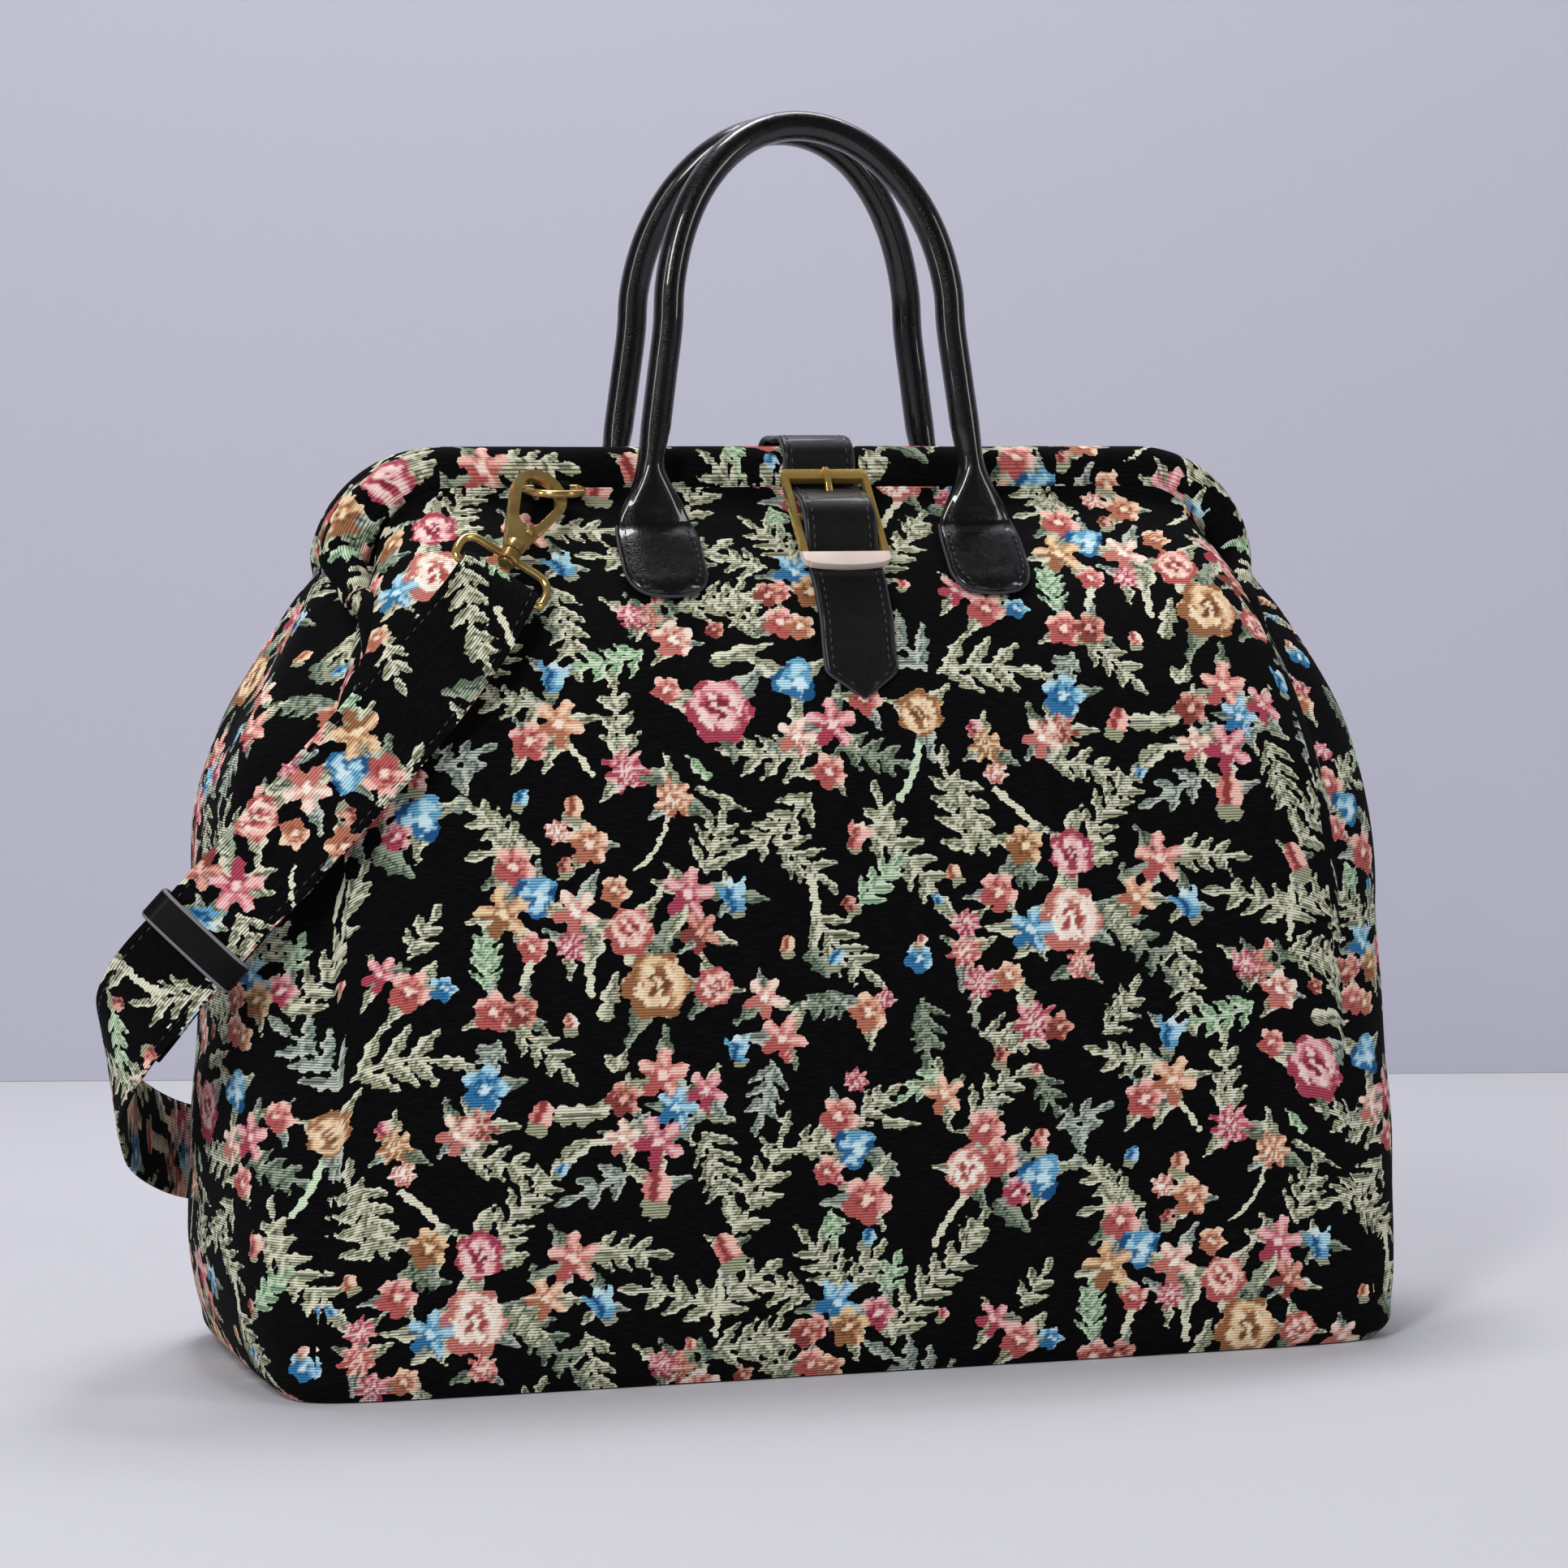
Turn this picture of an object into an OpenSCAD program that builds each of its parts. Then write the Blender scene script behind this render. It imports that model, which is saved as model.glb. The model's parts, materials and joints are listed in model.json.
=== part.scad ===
// Carpet bag with a hinged steel mouth frame, rolled leather handles, a buckled
// closing strap and a cloth shoulder strap on two swivel hooks.
// Origin: floor level, middle of the bottom. Front faces -Y, +Z is up. Millimetres.

/* [Bag] */
// Width of the front panel along its bottom edge
bag_w = 460; // [420:1:500]
// Depth of the bag at the bottom
bag_d = 188; // [176:1:200]
// Height from the floor to the top of the mouth
bag_h = 362; // [350:1:375]
// How far each side gusset bulges past the edge of the front panel
side_bulge = 20; // [0:1:30]
// Depth of the valley folded into each gusset below the hinge
gusset_fold = 9; // [0:1:12]
// Thickness of the carpet cloth and its interlining
cloth_t = 2.2; // [1.6:0.1:3]
// Thickness of the lining
lining_t = 1.2; // [0.8:0.1:1.8]
// Room between the cloth and the loose lining
lining_gap = 2; // [1.6:0.1:3]
// Thickness of the stiff board in the bottom
board_t = 3; // [2:0.5:5]
// Gap between the board and the cloth walls
board_gap = 14; // [10:1:20]
// Corner radius of the board
board_r = 18; // [8:1:30]

/* [Mouth frame] */
// Width of the mouth over its cloth casing
mouth_w = 394; // [386:1:400]
// Corner radius of the mouth over its casing
mouth_r = 52; // [50:1:58]
// Height of the stitched casing round the frame
casing_h = 20; // [18:0.5:24]
// Depth of one casing from front to back
casing_d = 16; // [15:0.5:18]
// Thickness of the casing's cloth
casing_t = 1.6; // [1.2:0.1:2]
// Diameter of the steel frame tube
tube_d = 8; // [6:0.5:9]
// Angle above level at which the casing stops short of the hinge
casing_stop = 4; // [3:1:10]
// Diameter of the hinge rivets
hinge_pin_d = 3; // [2:0.5:3.5]
// Thickness of the flattened hinge ears
ear_t = 1.8; // [1.4:0.1:2.2]
// Radius of the hinge ears round the rivet
ear_r = 3.8; // [3.2:0.1:4]

/* [Handles] */
// Distance between the middles of a handle's two tabs
handle_span = 134; // [110:1:160]
// Height of the handles above the mouth
handle_rise = 134; // [100:1:160]
// Diameter of the rolled leather
handle_d = 12; // [9:0.5:14]
// Width of the sewn tabs
tab_w = 33; // [26:1:38]
// Thickness of the padded tabs
tab_t = 5; // [3:0.5:6]
// Drop from the top of the mouth to the tip of a tab
tab_drop = 60; // [54:1:70]
// Height over which a tab keeps its full width
tab_run = 26; // [22:1:30]

/* [Closing strap] */
// Width of the leather closing strap
closer_w = 29; // [24:0.5:31]
// Thickness of the leather closing strap
closer_t = 2.4; // [1.8:0.1:2.6]
// Sideways shift of the strap from the middle
closer_x = 6; // [0:1:12]
// Drop from the top of the mouth to the strap's tip
closer_drop = 100; // [90:1:115]
// Length of the pointed end
closer_point = 11; // [8:0.5:14]
// Width of the buckle over its frame
buckle_w = 36; // [35:0.5:39]
// Distance between the middles of the top and bottom bars
buckle_h = 44; // [43:0.5:47]
// Width of the buckle's side arms
buckle_arm = 2.5; // [2:0.1:2.8]
// Thickness of the buckle's frame
buckle_t = 3.4; // [3:0.1:3.6]
// Height of the broad top bar
top_bar_h = 5; // [4:0.5:6]
// Height of the heavy bottom bar at its middle
bottom_bar_h = 7; // [6:0.5:8]
// Diameter of the centre bar
centre_bar_d = 3.5; // [3:0.1:3.6]
// Stand-off of the top bar's middle from the front of the casing
top_bar_off = 8.3; // [7.8:0.1:9]
// Width of the tongue
tongue_w = 2.6; // [2:0.1:3]
// Thickness of the tongue
tongue_t = 2; // [1.6:0.1:2.2]
// Width of the chape that holds the buckle
chape_w = 27; // [24:0.5:28]
// Thickness of one layer of the chape
chape_t = 1.4; // [1:0.1:1.5]

/* [Shoulder strap fittings] */
// Distance of each D-ring from the middle of the bag
ring_x = 106; // [90:1:120]
// Half the inside width of a D-ring, to the wire's middle
ring_r = 11; // [10:0.5:13]
// Straight length of a D-ring's sides
ring_side = 6; // [4:0.5:8]
// Diameter of the D-ring's wire
ring_wire = 3; // [2.4:0.1:3.2]
// Droop of the D-rings below level
ring_droop = 8; // [4:1:12]
// Width of the cloth tab that holds a D-ring
ring_tab_w = 14; // [10:0.5:16]
// Length of the hook from its swivel to the top of its eye
hook_l = 43; // [42:0.5:46]
// Outside radius of the hook's eye
eye_r = 11.5; // [11:0.1:12.5]
// Width of the hook's rim
eye_rim = 3.6; // [3.2:0.1:4]
// Thickness of the hook
hook_t = 4.2; // [3.6:0.1:5]
// Diameter of the gate's rivet
gate_pin_d = 1.8; // [1.4:0.1:2.2]
// Diameter of the swivel barrel
barrel_d = 8; // [7:0.5:9]
// Length of the swivel barrel
barrel_l = 5; // [4:0.5:6]
// Diameter of the swivel post
post_d = 4; // [3:0.1:4.4]
// Diameter of the wire of the strap loop
loop_wire = 3.2; // [2.6:0.1:3.4]
// Drop from the swivel to the bar of the strap loop
loop_drop = 16.5; // [16:0.5:18]

/* [Shoulder strap] */
// Width of the shoulder strap
strap_w = 38; // [32:0.5:39]
// Thickness of the shoulder strap
strap_t = 2.4; // [1.8:0.1:2.6]
// Length of the leather keeper along the strap
keeper_l = 13; // [8:0.5:15]
// Thickness of the keeper's leather
keeper_t = 1.8; // [1.4:0.1:2.4]

/* [Hidden] */
$fn = 48;

// Gap between pieces that seat on each other
seat_gap = 0.3;
// Radial room in a turning fit
turn_gap = 0.08;
// Overrun of every cut
over = 1;
// Step used to measure a slope
probe = 1;

// Colours
cloth_c = [0.10, 0.10, 0.11];
lining_c = [0.72, 0.58, 0.40];
board_c = [0.55, 0.50, 0.42];
steel_c = [0.62, 0.63, 0.65];
leather_c = [0.06, 0.06, 0.07];
gold_c = [0.80, 0.66, 0.34];
brass_c = [0.52, 0.42, 0.24];

// Middle of the mouth's corner arcs
arc_x = mouth_w / 2 - mouth_r;
arc_z = bag_h - mouth_r;
casing_in = mouth_r - casing_h;
casing_y = casing_d / 2 + seat_gap;
tube_bend = mouth_r - casing_t - seat_gap - tube_d / 2;
// Rim of the bag's cloth, under the casing
rim_z = arc_z + casing_in - seat_gap;
rim_half_d = casing_d + 2 * seat_gap;

// Loft of the bag: shares of the rim height, of the half width and of the half depth, then
// of the gusset bulge, of the gusset fold and of the squareness of the plan
loft_shares = [
    [0.000, 0.982, 0.968, 0.00, 0.0, 1.00], [0.014, 0.998, 0.992, 0.10, 0.0, 1.00],
    [0.050, 1.000, 1.005, 0.38, 0.0, 0.95], [0.130, 0.995, 1.015, 0.75, 0.0, 0.80],
    [0.250, 0.985, 1.030, 0.95, 0.0, 0.65], [0.380, 0.974, 1.020, 1.00, 0.0, 0.55],
    [0.500, 0.970, 0.990, 1.00, 0.1, 0.50], [0.620, 0.968, 0.935, 1.05, 0.2, 0.46],
    [0.730, 0.955, 0.850, 1.05, 0.6, 0.44], [0.820, 0.932, 0.725, 0.95, 1.0, 0.42],
    [0.890, 0.906, 0.575, 0.60, 0.9, 0.46], [0.945, 0.882, 0.395, 0.25, 0.5, 0.55],
    [0.980, 0.868, 0.260, 0.05, 0.1, 0.75], [1.000, 0.866, 0.000, 0.00, 0.0, 0.95]];
loft_rows = len(loft_shares);
loft_sides = 64;
lining_rows = loft_rows - 3;
// Squareness of the bag's plan at the bottom, and breadth of the gusset fold in shares of the depth
plan_power = 12;
fold_share = 0.45;
// How much sooner the rim falls away than the casing at the mouth's corners
rim_ease_share = 1.04;

function unit(v) = v / norm(v);
function mix(a, b, s) = a + (b - a) * s;
function half_w(row) = loft_shares[row][1] * bag_w / 2;
function half_d(row) = row == loft_rows - 1 ? rim_half_d
    : max(rim_half_d, loft_shares[row][2] * bag_d / 2);
// Height of the rim over a place along the mouth: under the casing, then along its cut end
function rim_at(x) = let(past = max(0, abs(x) - arc_x) * rim_ease_share, r = casing_in - seat_gap)
    max(arc_z + sqrt(max(0, r * r - past * past)),
        arc_z + max(0, abs(x) - arc_x) * tan(casing_stop) - 2 * seat_gap);
function power(v, p) = sign(v) * pow(abs(v), p);
// One point of the loft, set in by an inset and lifted by a floor thickness
function loft_point(row, turn, inset, floor) = let(
    a = half_w(row) - inset, b = half_d(row) - inset, square = plan_power * loft_shares[row][5],
    cx = power(cos(turn), 2 / square), cy = power(sin(turn), 2 / square),
    swell = side_bulge * loft_shares[row][3] * (1 - cy * cy),
    valley = gusset_fold * loft_shares[row][4] * exp(-pow(cy / fold_share, 2)) * pow(abs(cx), square),
    x = cx * a + sign(cx) * (swell * pow(abs(cx), 2) - valley),
    rim = rim_at(cx * half_w(loft_rows - 1)))
    [x, cy * b, floor + loft_shares[row][0] * (rim - floor)];
function loft_ring(row, inset, floor) =
    [for (k = [0 : loft_sides - 1]) loft_point(row, 360 * (k + 0.5) / loft_sides, inset, floor)];
// The front panel at the middle of the bag: [y, z] at a height, off the cloth by a gap
panel_table = [for (row = [0 : loft_rows - 1]) [loft_shares[row][0] * rim_z, -half_d(row)]];
function panel_y(z) = lookup(z, panel_table);
function panel_up(z) = unit([panel_y(z + probe) - panel_y(z - probe), 2 * probe]);
function on_panel(z, off) = let(up = panel_up(z)) [panel_y(z) - off * up[1], z + off * up[0]];

// Faces of rings joined in a row, capped at both ends or closed on themselves
function ring_faces(m, n, closed = false) = concat(
    closed ? [] : [[for (j = [0 : n - 1]) j], [for (j = [n - 1 : -1 : 0]) (m - 1) * n + j]],
    [for (i = [0 : m - (closed ? 1 : 2)]) for (j = [0 : n - 1]) for (half = [0, 1])
        let(a = i * n, b = ((i + 1) % m) * n, k = (j + 1) % n)
        half == 0 ? [a + j, b + j, b + k] : [a + j, b + k, a + k]]);
module rings(list, closed = false) {
    polyhedron([for (ring = list) for (p = ring) p],
               ring_faces(len(list), len(list[0]), closed), convexity = 8);
}
// Smooth curve through points, with a number of steps between each two
function curve_point(a, b, c, d, s) = b + (c - a) * s / 2 + (a - 2.5 * b + 2 * c - d / 2) * s * s
    + (1.5 * (b - c) + (d - a) / 2) * s * s * s;
function curve(p, steps) = let(last = len(p) - 1) concat(
    [for (i = [0 : last - 1]) for (k = [0 : steps - 1])
        curve_point(p[max(0, i - 1)], p[i], p[i + 1], p[min(last, i + 2)], k / steps)], [p[last]]);
function along(p, i) = unit(p[min(len(p) - 1, i + 1)] - p[max(0, i - 1)]);
// Outline of a strip of even thickness along a flat path
function strip(p, t) = concat(
    [for (i = [0 : len(p) - 1]) let(d = along(p, i)) p[i] + [-d[1], d[0]] * t / 2],
    [for (i = [len(p) - 1 : -1 : 0]) let(d = along(p, i)) p[i] - [-d[1], d[0]] * t / 2]);
// Draws an outline given as [y, z] and extrudes it evenly to both sides along X
module across(w) {
    rotate([90, 0, 90]) linear_extrude(w, center = true) children();
}

// Flat link round two circles on one line: the arcs and the two sides that touch both
link_steps = 16;
module link(r_low, z_low, r_high, z_high) {
    lean = asin((r_low - r_high) / (z_high - z_low));
    polygon([for (k = [0 : link_steps]) let(t = 180 - lean + (180 + 2 * lean) * k / link_steps)
                 [r_low * cos(t), z_low + r_low * sin(t)],
             for (k = [0 : link_steps]) let(t = lean + (180 - 2 * lean) * k / link_steps)
                 [r_high * cos(t), z_high + r_high * sin(t)]]);
}

// Bag

module shell(inset, t, floor, rows) {
    rings(concat([for (r = [0 : rows - 1]) loft_ring(r, inset, floor)],
                 [for (r = [rows - 1 : -1 : 0]) loft_ring(r, inset + t, floor + t)]));
}

board_z = cloth_t + seat_gap;
lining_z = board_z + board_t + seat_gap;

module body_cloth() {
    color(cloth_c) shell(0, cloth_t, 0, loft_rows);
}

module lining() {
    color(lining_c) shell(cloth_t + lining_gap, lining_t, lining_z, lining_rows);
}

module base_board() {
    inset = cloth_t + board_gap;
    color(board_c) translate([0, 0, board_z]) linear_extrude(board_t)
        rounded(bag_w - 2 * inset, bag_d - 2 * inset, board_r);
}

// Rectangle with round corners
module rounded(w, h, r) {
    square([w - 2 * r, h], center = true);
    square([w, h - 2 * r], center = true);
    for (x = [-1, 1], y = [-1, 1]) translate([x * (w / 2 - r), y * (h / 2 - r)]) circle(r);
}

// Mouth frame

// Angle from the casing's end down to the hinge
hinge_drop = 8;
hinge_angle = casing_stop - hinge_drop;
hinge_x = arc_x + tube_bend * cos(hinge_angle) - tube_d / 2 + ear_t;
hinge_z = arc_z + tube_bend * sin(hinge_angle) - ear_r;

// Half frame of bent tube; layer 0 has its hinge ear outside, layer 1 inside
module half_frame(layer) {
    color(steel_c) {
        translate([0, -casing_y, arc_z + tube_bend]) rotate([0, 90, 0]) rotate([0, 0, 180])
            cylinder(d = tube_d, h = 2 * arc_x, center = true);
        for (s = [0, 1]) mirror([s, 0, 0]) {
            translate([arc_x, -casing_y, arc_z]) rotate([90, 0, 0]) mirror([1, -1, 0])
                rotate_extrude(angle = 90 - hinge_angle) translate([tube_bend, 0]) circle(d = tube_d);
            translate([hinge_x - layer * (ear_t + seat_gap), 0, hinge_z]) hinge_ear();
        }
    }
}
// Flattened end of the tube with the rivet's hole; its root as a share of the tube's radius
ear_root_share = 0.72;
module hinge_ear() {
    rotate([90, 0, 90]) linear_extrude(ear_t) difference() {
        rotate(atan2(casing_y, ear_r))
            link(ear_r, 0, ear_root_share * tube_d / 2, norm([casing_y, ear_r]));
        circle(d = hinge_pin_d + 2 * turn_gap);
    }
}
module front_frame() { half_frame(0); }
module back_frame() { mirror([0, 1, 0]) half_frame(1); }

// Height of the rivets' heads
rivet_head = 0.9;
rivet_head_d = 2 * hinge_pin_d - 2 * rivet_head;
module frame_rivets() {
    inner = hinge_x - ear_t - 2 * seat_gap;
    outer = hinge_x + ear_t + seat_gap;
    color(steel_c) for (s = [0, 1]) mirror([s, 0, 0])
        translate([inner, 0, hinge_z]) rotate([0, 90, 0]) {
            cylinder(d = hinge_pin_d, h = outer - inner);
            for (z = [-rivet_head, outer - inner]) translate([0, 0, z])
                cylinder(d = rivet_head_d, h = rivet_head);
        }
}

// Cloth casing sewn round a half frame: an open channel along the mouth
casing_sides = 16;
casing_steps = 9;
casing_flats = 8;
// Squareness of its section
casing_power = 2.6;
casing_line = concat(
    [for (k = [0 : casing_steps - 1]) [1, mix(casing_stop, 90, k / casing_steps)]],
    [for (k = [0 : casing_flats]) [1 - 2 * k / casing_flats, 90]],
    [for (k = [casing_steps - 1 : -1 : 0]) [-1, mix(casing_stop, 90, k / casing_steps)]]);
function casing_ring(place, inset) = [for (k = [0 : casing_sides - 1]) let(
    turn = 360 * k / casing_sides,
    out = mouth_r - casing_h / 2 - power(sin(turn), 2 / casing_power) * (casing_h / 2 - inset),
    y = power(cos(turn), 2 / casing_power) * (casing_d / 2 - inset))
    [place[0] * arc_x + sign(place[0]) * out * cos(place[1]), y - casing_y,
     arc_z + out * sin(place[1])]];
module front_casing() {
    last = len(casing_line) - 1;
    color(cloth_c) rings(concat([for (p = casing_line) casing_ring(p, 0)],
        [for (k = [last : -1 : 0]) casing_ring(casing_line[k], casing_t)]), closed = true);
}
module back_casing() { mirror([0, 1, 0]) front_casing(); }

// Handles

// Lean of the arch: shares of the leg's stand-off at its spring, of the half span and of the rise
lean_share = 0.95;
arch_half_share = 0.88;
arch_rise_share = 0.64;
leg_y = -rim_half_d - handle_d - seat_gap;
leg_half = handle_span / 2;
arch_half = leg_half * arch_half_share;
arch_z = bag_h + handle_rise * (1 - arch_rise_share);
apex_y = -handle_d;
tab_low = bag_h - tab_drop;
tab_top = tab_low + tab_run;
handle_sides = 12;
// Rows of a tab: share of its run, then share of its half width
tab_shares = [[0.00, 0.34], [0.04, 0.64], [0.12, 0.86], [0.26, 0.98],
              [0.50, 1.00], [0.78, 1.00], [1.00, 0.95]];
// Rows of the neck above it: share of the way to the leg, then of the change to round
neck_shares = [[0.45, 0.45], [0.75, 0.80], [1.00, 1.00]];
arch_steps = 9;
leg_foot = bag_h - casing_h / 2;
// Each row: place, half width, half thickness, outward direction
tab_off = tab_t / 2 + seat_gap;
tab_part = [for (s = tab_shares) let(
    z = mix(tab_low, tab_top, s[0]), p = on_panel(z, tab_off), up = panel_up(z))
    [[leg_half, p[0], p[1]], tab_w / 2 * s[1], tab_t / 2, [0, -up[1], up[0]]]];
tab_end = on_panel(tab_top, tab_off);
neck_w = tab_part[len(tab_part) - 1][1];
neck_part = [for (s = neck_shares)
    [[leg_half, mix(tab_end[0], leg_y, s[0]), mix(tab_end[1], leg_foot, s[0])],
     mix(neck_w, handle_d / 2, s[1]), mix(tab_t / 2, handle_d / 2, s[1]), [0, -1, 1 - s[0]]]];
spring_y = leg_y * lean_share;
apex_z = bag_h + handle_rise - handle_d / 2;
leg_part = [for (s = [1 / 3, 2 / 3])
    [[mix(leg_half, arch_half, s), mix(leg_y, spring_y, s), mix(leg_foot, arch_z, s)],
     handle_d / 2, handle_d / 2, [0, -1, 0]]];
arch_part = [for (k = [0 : arch_steps]) let(t = 90 * k / arch_steps)
    [[arch_half * cos(t), mix(spring_y, apex_y, pow(sin(t), 2)), mix(arch_z, apex_z, sin(t))],
     handle_d / 2, handle_d / 2, [0, -1, 0]]];
half_handle = concat(tab_part, neck_part, leg_part, arch_part);
handle_line = concat(half_handle, [for (k = [len(half_handle) - 2 : -1 : 0]) let(r = half_handle[k])
    [[-r[0][0], r[0][1], r[0][2]], r[1], r[2], r[3]]]);
// A round or flattened ring square to a path
function oval_ring(line, i, sides) = let(
    d = unit(line[min(len(line) - 1, i + 1)][0] - line[max(0, i - 1)][0]),
    side = unit(cross(line[i][3], d)), out = cross(d, side))
    [for (k = [0 : sides - 1]) let(t = 360 * k / sides)
        line[i][0] + side * line[i][1] * cos(t) + out * line[i][2] * sin(t)];
module front_handle() {
    last = len(handle_line) - 1;
    color(leather_c) rings([for (i = [0 : last]) oval_ring(handle_line, i, handle_sides)]);
}
module back_handle() { mirror([0, 1, 0]) front_handle(); }

// Closing strap and buckle

// Bottom bar stands off the panel by the chape, the strap and their gaps
bottom_bar_off = 2 * chape_t + closer_t + 6 * seat_gap + buckle_t / 2;
buckle_drop_share = 0.70;
bottom_bar_z = bag_h - casing_h - buckle_h * buckle_drop_share;
bottom_bar = on_panel(bottom_bar_z, bottom_bar_off);
// Buckle leans from the panel to the casing; its axes are x across, y into the bag, z up the strap
buckle_lean = asin((-casing_y - casing_d / 2 - top_bar_off - bottom_bar[0]) / buckle_h);
buckle_up = [sin(buckle_lean), cos(buckle_lean)];
buckle_out = [-cos(buckle_lean), sin(buckle_lean)];
centre_bar = bottom_bar + buckle_up * buckle_h / 2;
over_centre = centre_bar_d / 2 + chape_t + 3 * seat_gap + closer_t / 2;
closer_low = bag_h - closer_drop;
lap = closer_t / 2 + seat_gap;
chape_share = 0.45;
chape_low = bottom_bar_z - buckle_h * chape_share;
tip_off = lap + 2 * seat_gap;
chape_lap = lap + 2 * chape_t + 4 * seat_gap;
function behind(p) = [-p[0], p[1]];
// Crest of the strap over the two casings, as shares of the casing's depth and height
crest_shares = [[1.16, -0.60], [1.06, -0.22], [0.68, 0.06],
                [0, 0.05], [-0.60, 0.06], [-0.98, -0.18]];
// Weave of the strap under, over and under the bars: share of the way from the centre bar up or
// down, then share of its height over the centre bar
weave_shares = [[1.13, -0.80], [0.86, -0.72], [0.58, 0.05], [0.28, 0.78], [0, 1.00],
                [-0.28, 0.78], [-0.58, 0.05], [-0.86, -0.66], [-1.00, -0.66]];
// Shares of the way down the panel: up the back, over the chape, and on to the tip
back_shares = [0.30, 0.44, 0.58, 0.70, 0.80];
lap_shares = [0.35, 0.7, 1];
tip_shares = [0.35, 0.7, 1];
closer_points = concat(
    [for (s = back_shares) behind(on_panel(mix(closer_low, rim_z, s), tip_off))],
    [for (s = crest_shares) [s[0] * casing_d + sign(s[0]) * lap, bag_h + s[1] * casing_h + lap]],
    [for (s = weave_shares)
        centre_bar + buckle_up * s[0] * buckle_h / 2 + buckle_out * over_centre * s[1],
     for (s = lap_shares) on_panel(mix(bottom_bar_z, chape_low, s), chape_lap),
     for (s = tip_shares) on_panel(mix(chape_low, closer_low, s), tip_off)]);
closer_steps = 4;
closer_path = curve(closer_points, closer_steps);
closer_end = closer_path[len(closer_path) - 1];
closer_dir = along(closer_path, len(closer_path) - 1);
// Oblong hole for the tongue: from and to, as shares of the way from centre bar to top bar
slot_shares = [0.26, 0.84];
slot_w = tongue_w + 3 * seat_gap;

module in_buckle() {
    translate([closer_x, centre_bar[0], centre_bar[1]]) rotate([-buckle_lean, 0, 0]) children();
}
module closure_strap() {
    half = closer_w / 2;
    color(leather_c) difference() {
        translate([closer_x, 0, 0]) across(closer_w) polygon(strip(closer_path, closer_t));
        translate([closer_x, closer_end[0], closer_end[1]])
            rotate([-atan2(closer_dir[0], closer_dir[1]), 0, 0])
            for (s = [0, 1]) mirror([s, 0, 0]) rotate([90, 0, 0])
                linear_extrude(4 * closer_point, center = true)
                    polygon([[0, 0], [half, -closer_point], [half + over, -closer_point],
                             [half + over, over], [0, over]]);
        in_buckle() rotate([90, 0, 0]) linear_extrude(2 * buckle_h, center = true) {
            for (s = slot_shares) translate([0, s * buckle_h / 2]) circle(d = slot_w);
            translate([-slot_w / 2, slot_shares[0] * buckle_h / 2])
                square([slot_w, (slot_shares[1] - slot_shares[0]) * buckle_h / 2]);
        }
    }
}

// Buckle: rounded frame with a bowed, heavier bottom bar and a round centre bar
bar_bow = bottom_bar_h - top_bar_h;
bow_r = (buckle_w * buckle_w / 4 + bar_bow * bar_bow) / (2 * bar_bow);
corner_r = buckle_arm;
module buckle_frame() {
    top = buckle_h / 2 + top_bar_h / 2;
    low = -buckle_h / 2 - top_bar_h / 2;
    inner_w = buckle_w - 2 * buckle_arm;
    color(gold_c) in_buckle() {
        rotate([90, 0, 0]) linear_extrude(buckle_t, center = true) difference() {
            union() {
                rounded(buckle_w, top - low, corner_r);
                intersection() {
                    translate([0, low - bar_bow + bow_r]) circle(bow_r, $fn = 96);
                    translate([-buckle_w / 2 + corner_r, low - bar_bow])
                        square([buckle_w - 2 * corner_r, bottom_bar_h]);
                }
            }
            square([inner_w, buckle_h - top_bar_h], center = true);
        }
        rotate([0, 90, 0]) cylinder(d = centre_bar_d, h = inner_w + buckle_arm, center = true);
    }
}

// Tongue: turns on the centre bar, rises through the strap and rests on the top bar
tongue_eye_r = centre_bar_d / 2 + turn_gap + tongue_t / 2;
tongue_rest = buckle_t / 2 + seat_gap + tongue_t / 2;
// Points: share of the way to the top bar, then share of the resting height
tongue_shares = [[0.08, -0.30], [0.30, -0.25], [0.50, 0.15],
                 [0.72, 0.90], [0.84, 1.00], [1.08, 1.00]];
tongue_steps = 3;
tongue_path = curve([for (s = tongue_shares) [s[1] * tongue_rest, s[0] * buckle_h / 2]], tongue_steps);
module buckle_tongue() {
    color(gold_c) in_buckle() difference() {
        union() {
            rotate([0, 90, 0]) cylinder(r = tongue_eye_r + tongue_t / 2, h = tongue_w, center = true);
            rotate([90, 0, -90]) linear_extrude(tongue_w, center = true)
                polygon(strip(tongue_path, tongue_t));
        }
        rotate([0, 90, 0]) cylinder(d = centre_bar_d + 2 * turn_gap, h = 2 * tongue_w, center = true);
    }
}

// Chape: a leather strip folded round the centre bar, both ends sewn to the panel
chape_bend = centre_bar_d / 2 + seat_gap + chape_t / 2;
// Angle that the fold reaches to either side of the top of the bar
chape_turn = 110;
chape_steps = 4;
chape_shares = [0, 0.35, 0.7];
chape_low_off = chape_t / 2 + seat_gap;
chape_high_off = chape_low_off + chape_t + seat_gap / 2;
chape_rise_share = 0.3;
chape_high = mix(bottom_bar_z, centre_bar[1], chape_rise_share);
chape_points = concat(
    [for (s = chape_shares) on_panel(mix(chape_low, bottom_bar_z, s), chape_low_off)],
    [for (z = [bottom_bar_z, chape_high]) on_panel(z, chape_low_off)],
    [for (k = [-chape_steps : chape_steps]) let(t = chape_turn * k / chape_steps)
        centre_bar + (buckle_up * cos(t) + buckle_out * sin(t)) * chape_bend],
    [for (z = [chape_high, bottom_bar_z]) on_panel(z, chape_high_off)],
    [for (k = [len(chape_shares) - 1 : -1 : 0])
        on_panel(mix(chape_low, bottom_bar_z, chape_shares[k]), chape_high_off)]);
chape_slot = tongue_w + 4 * seat_gap;
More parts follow.
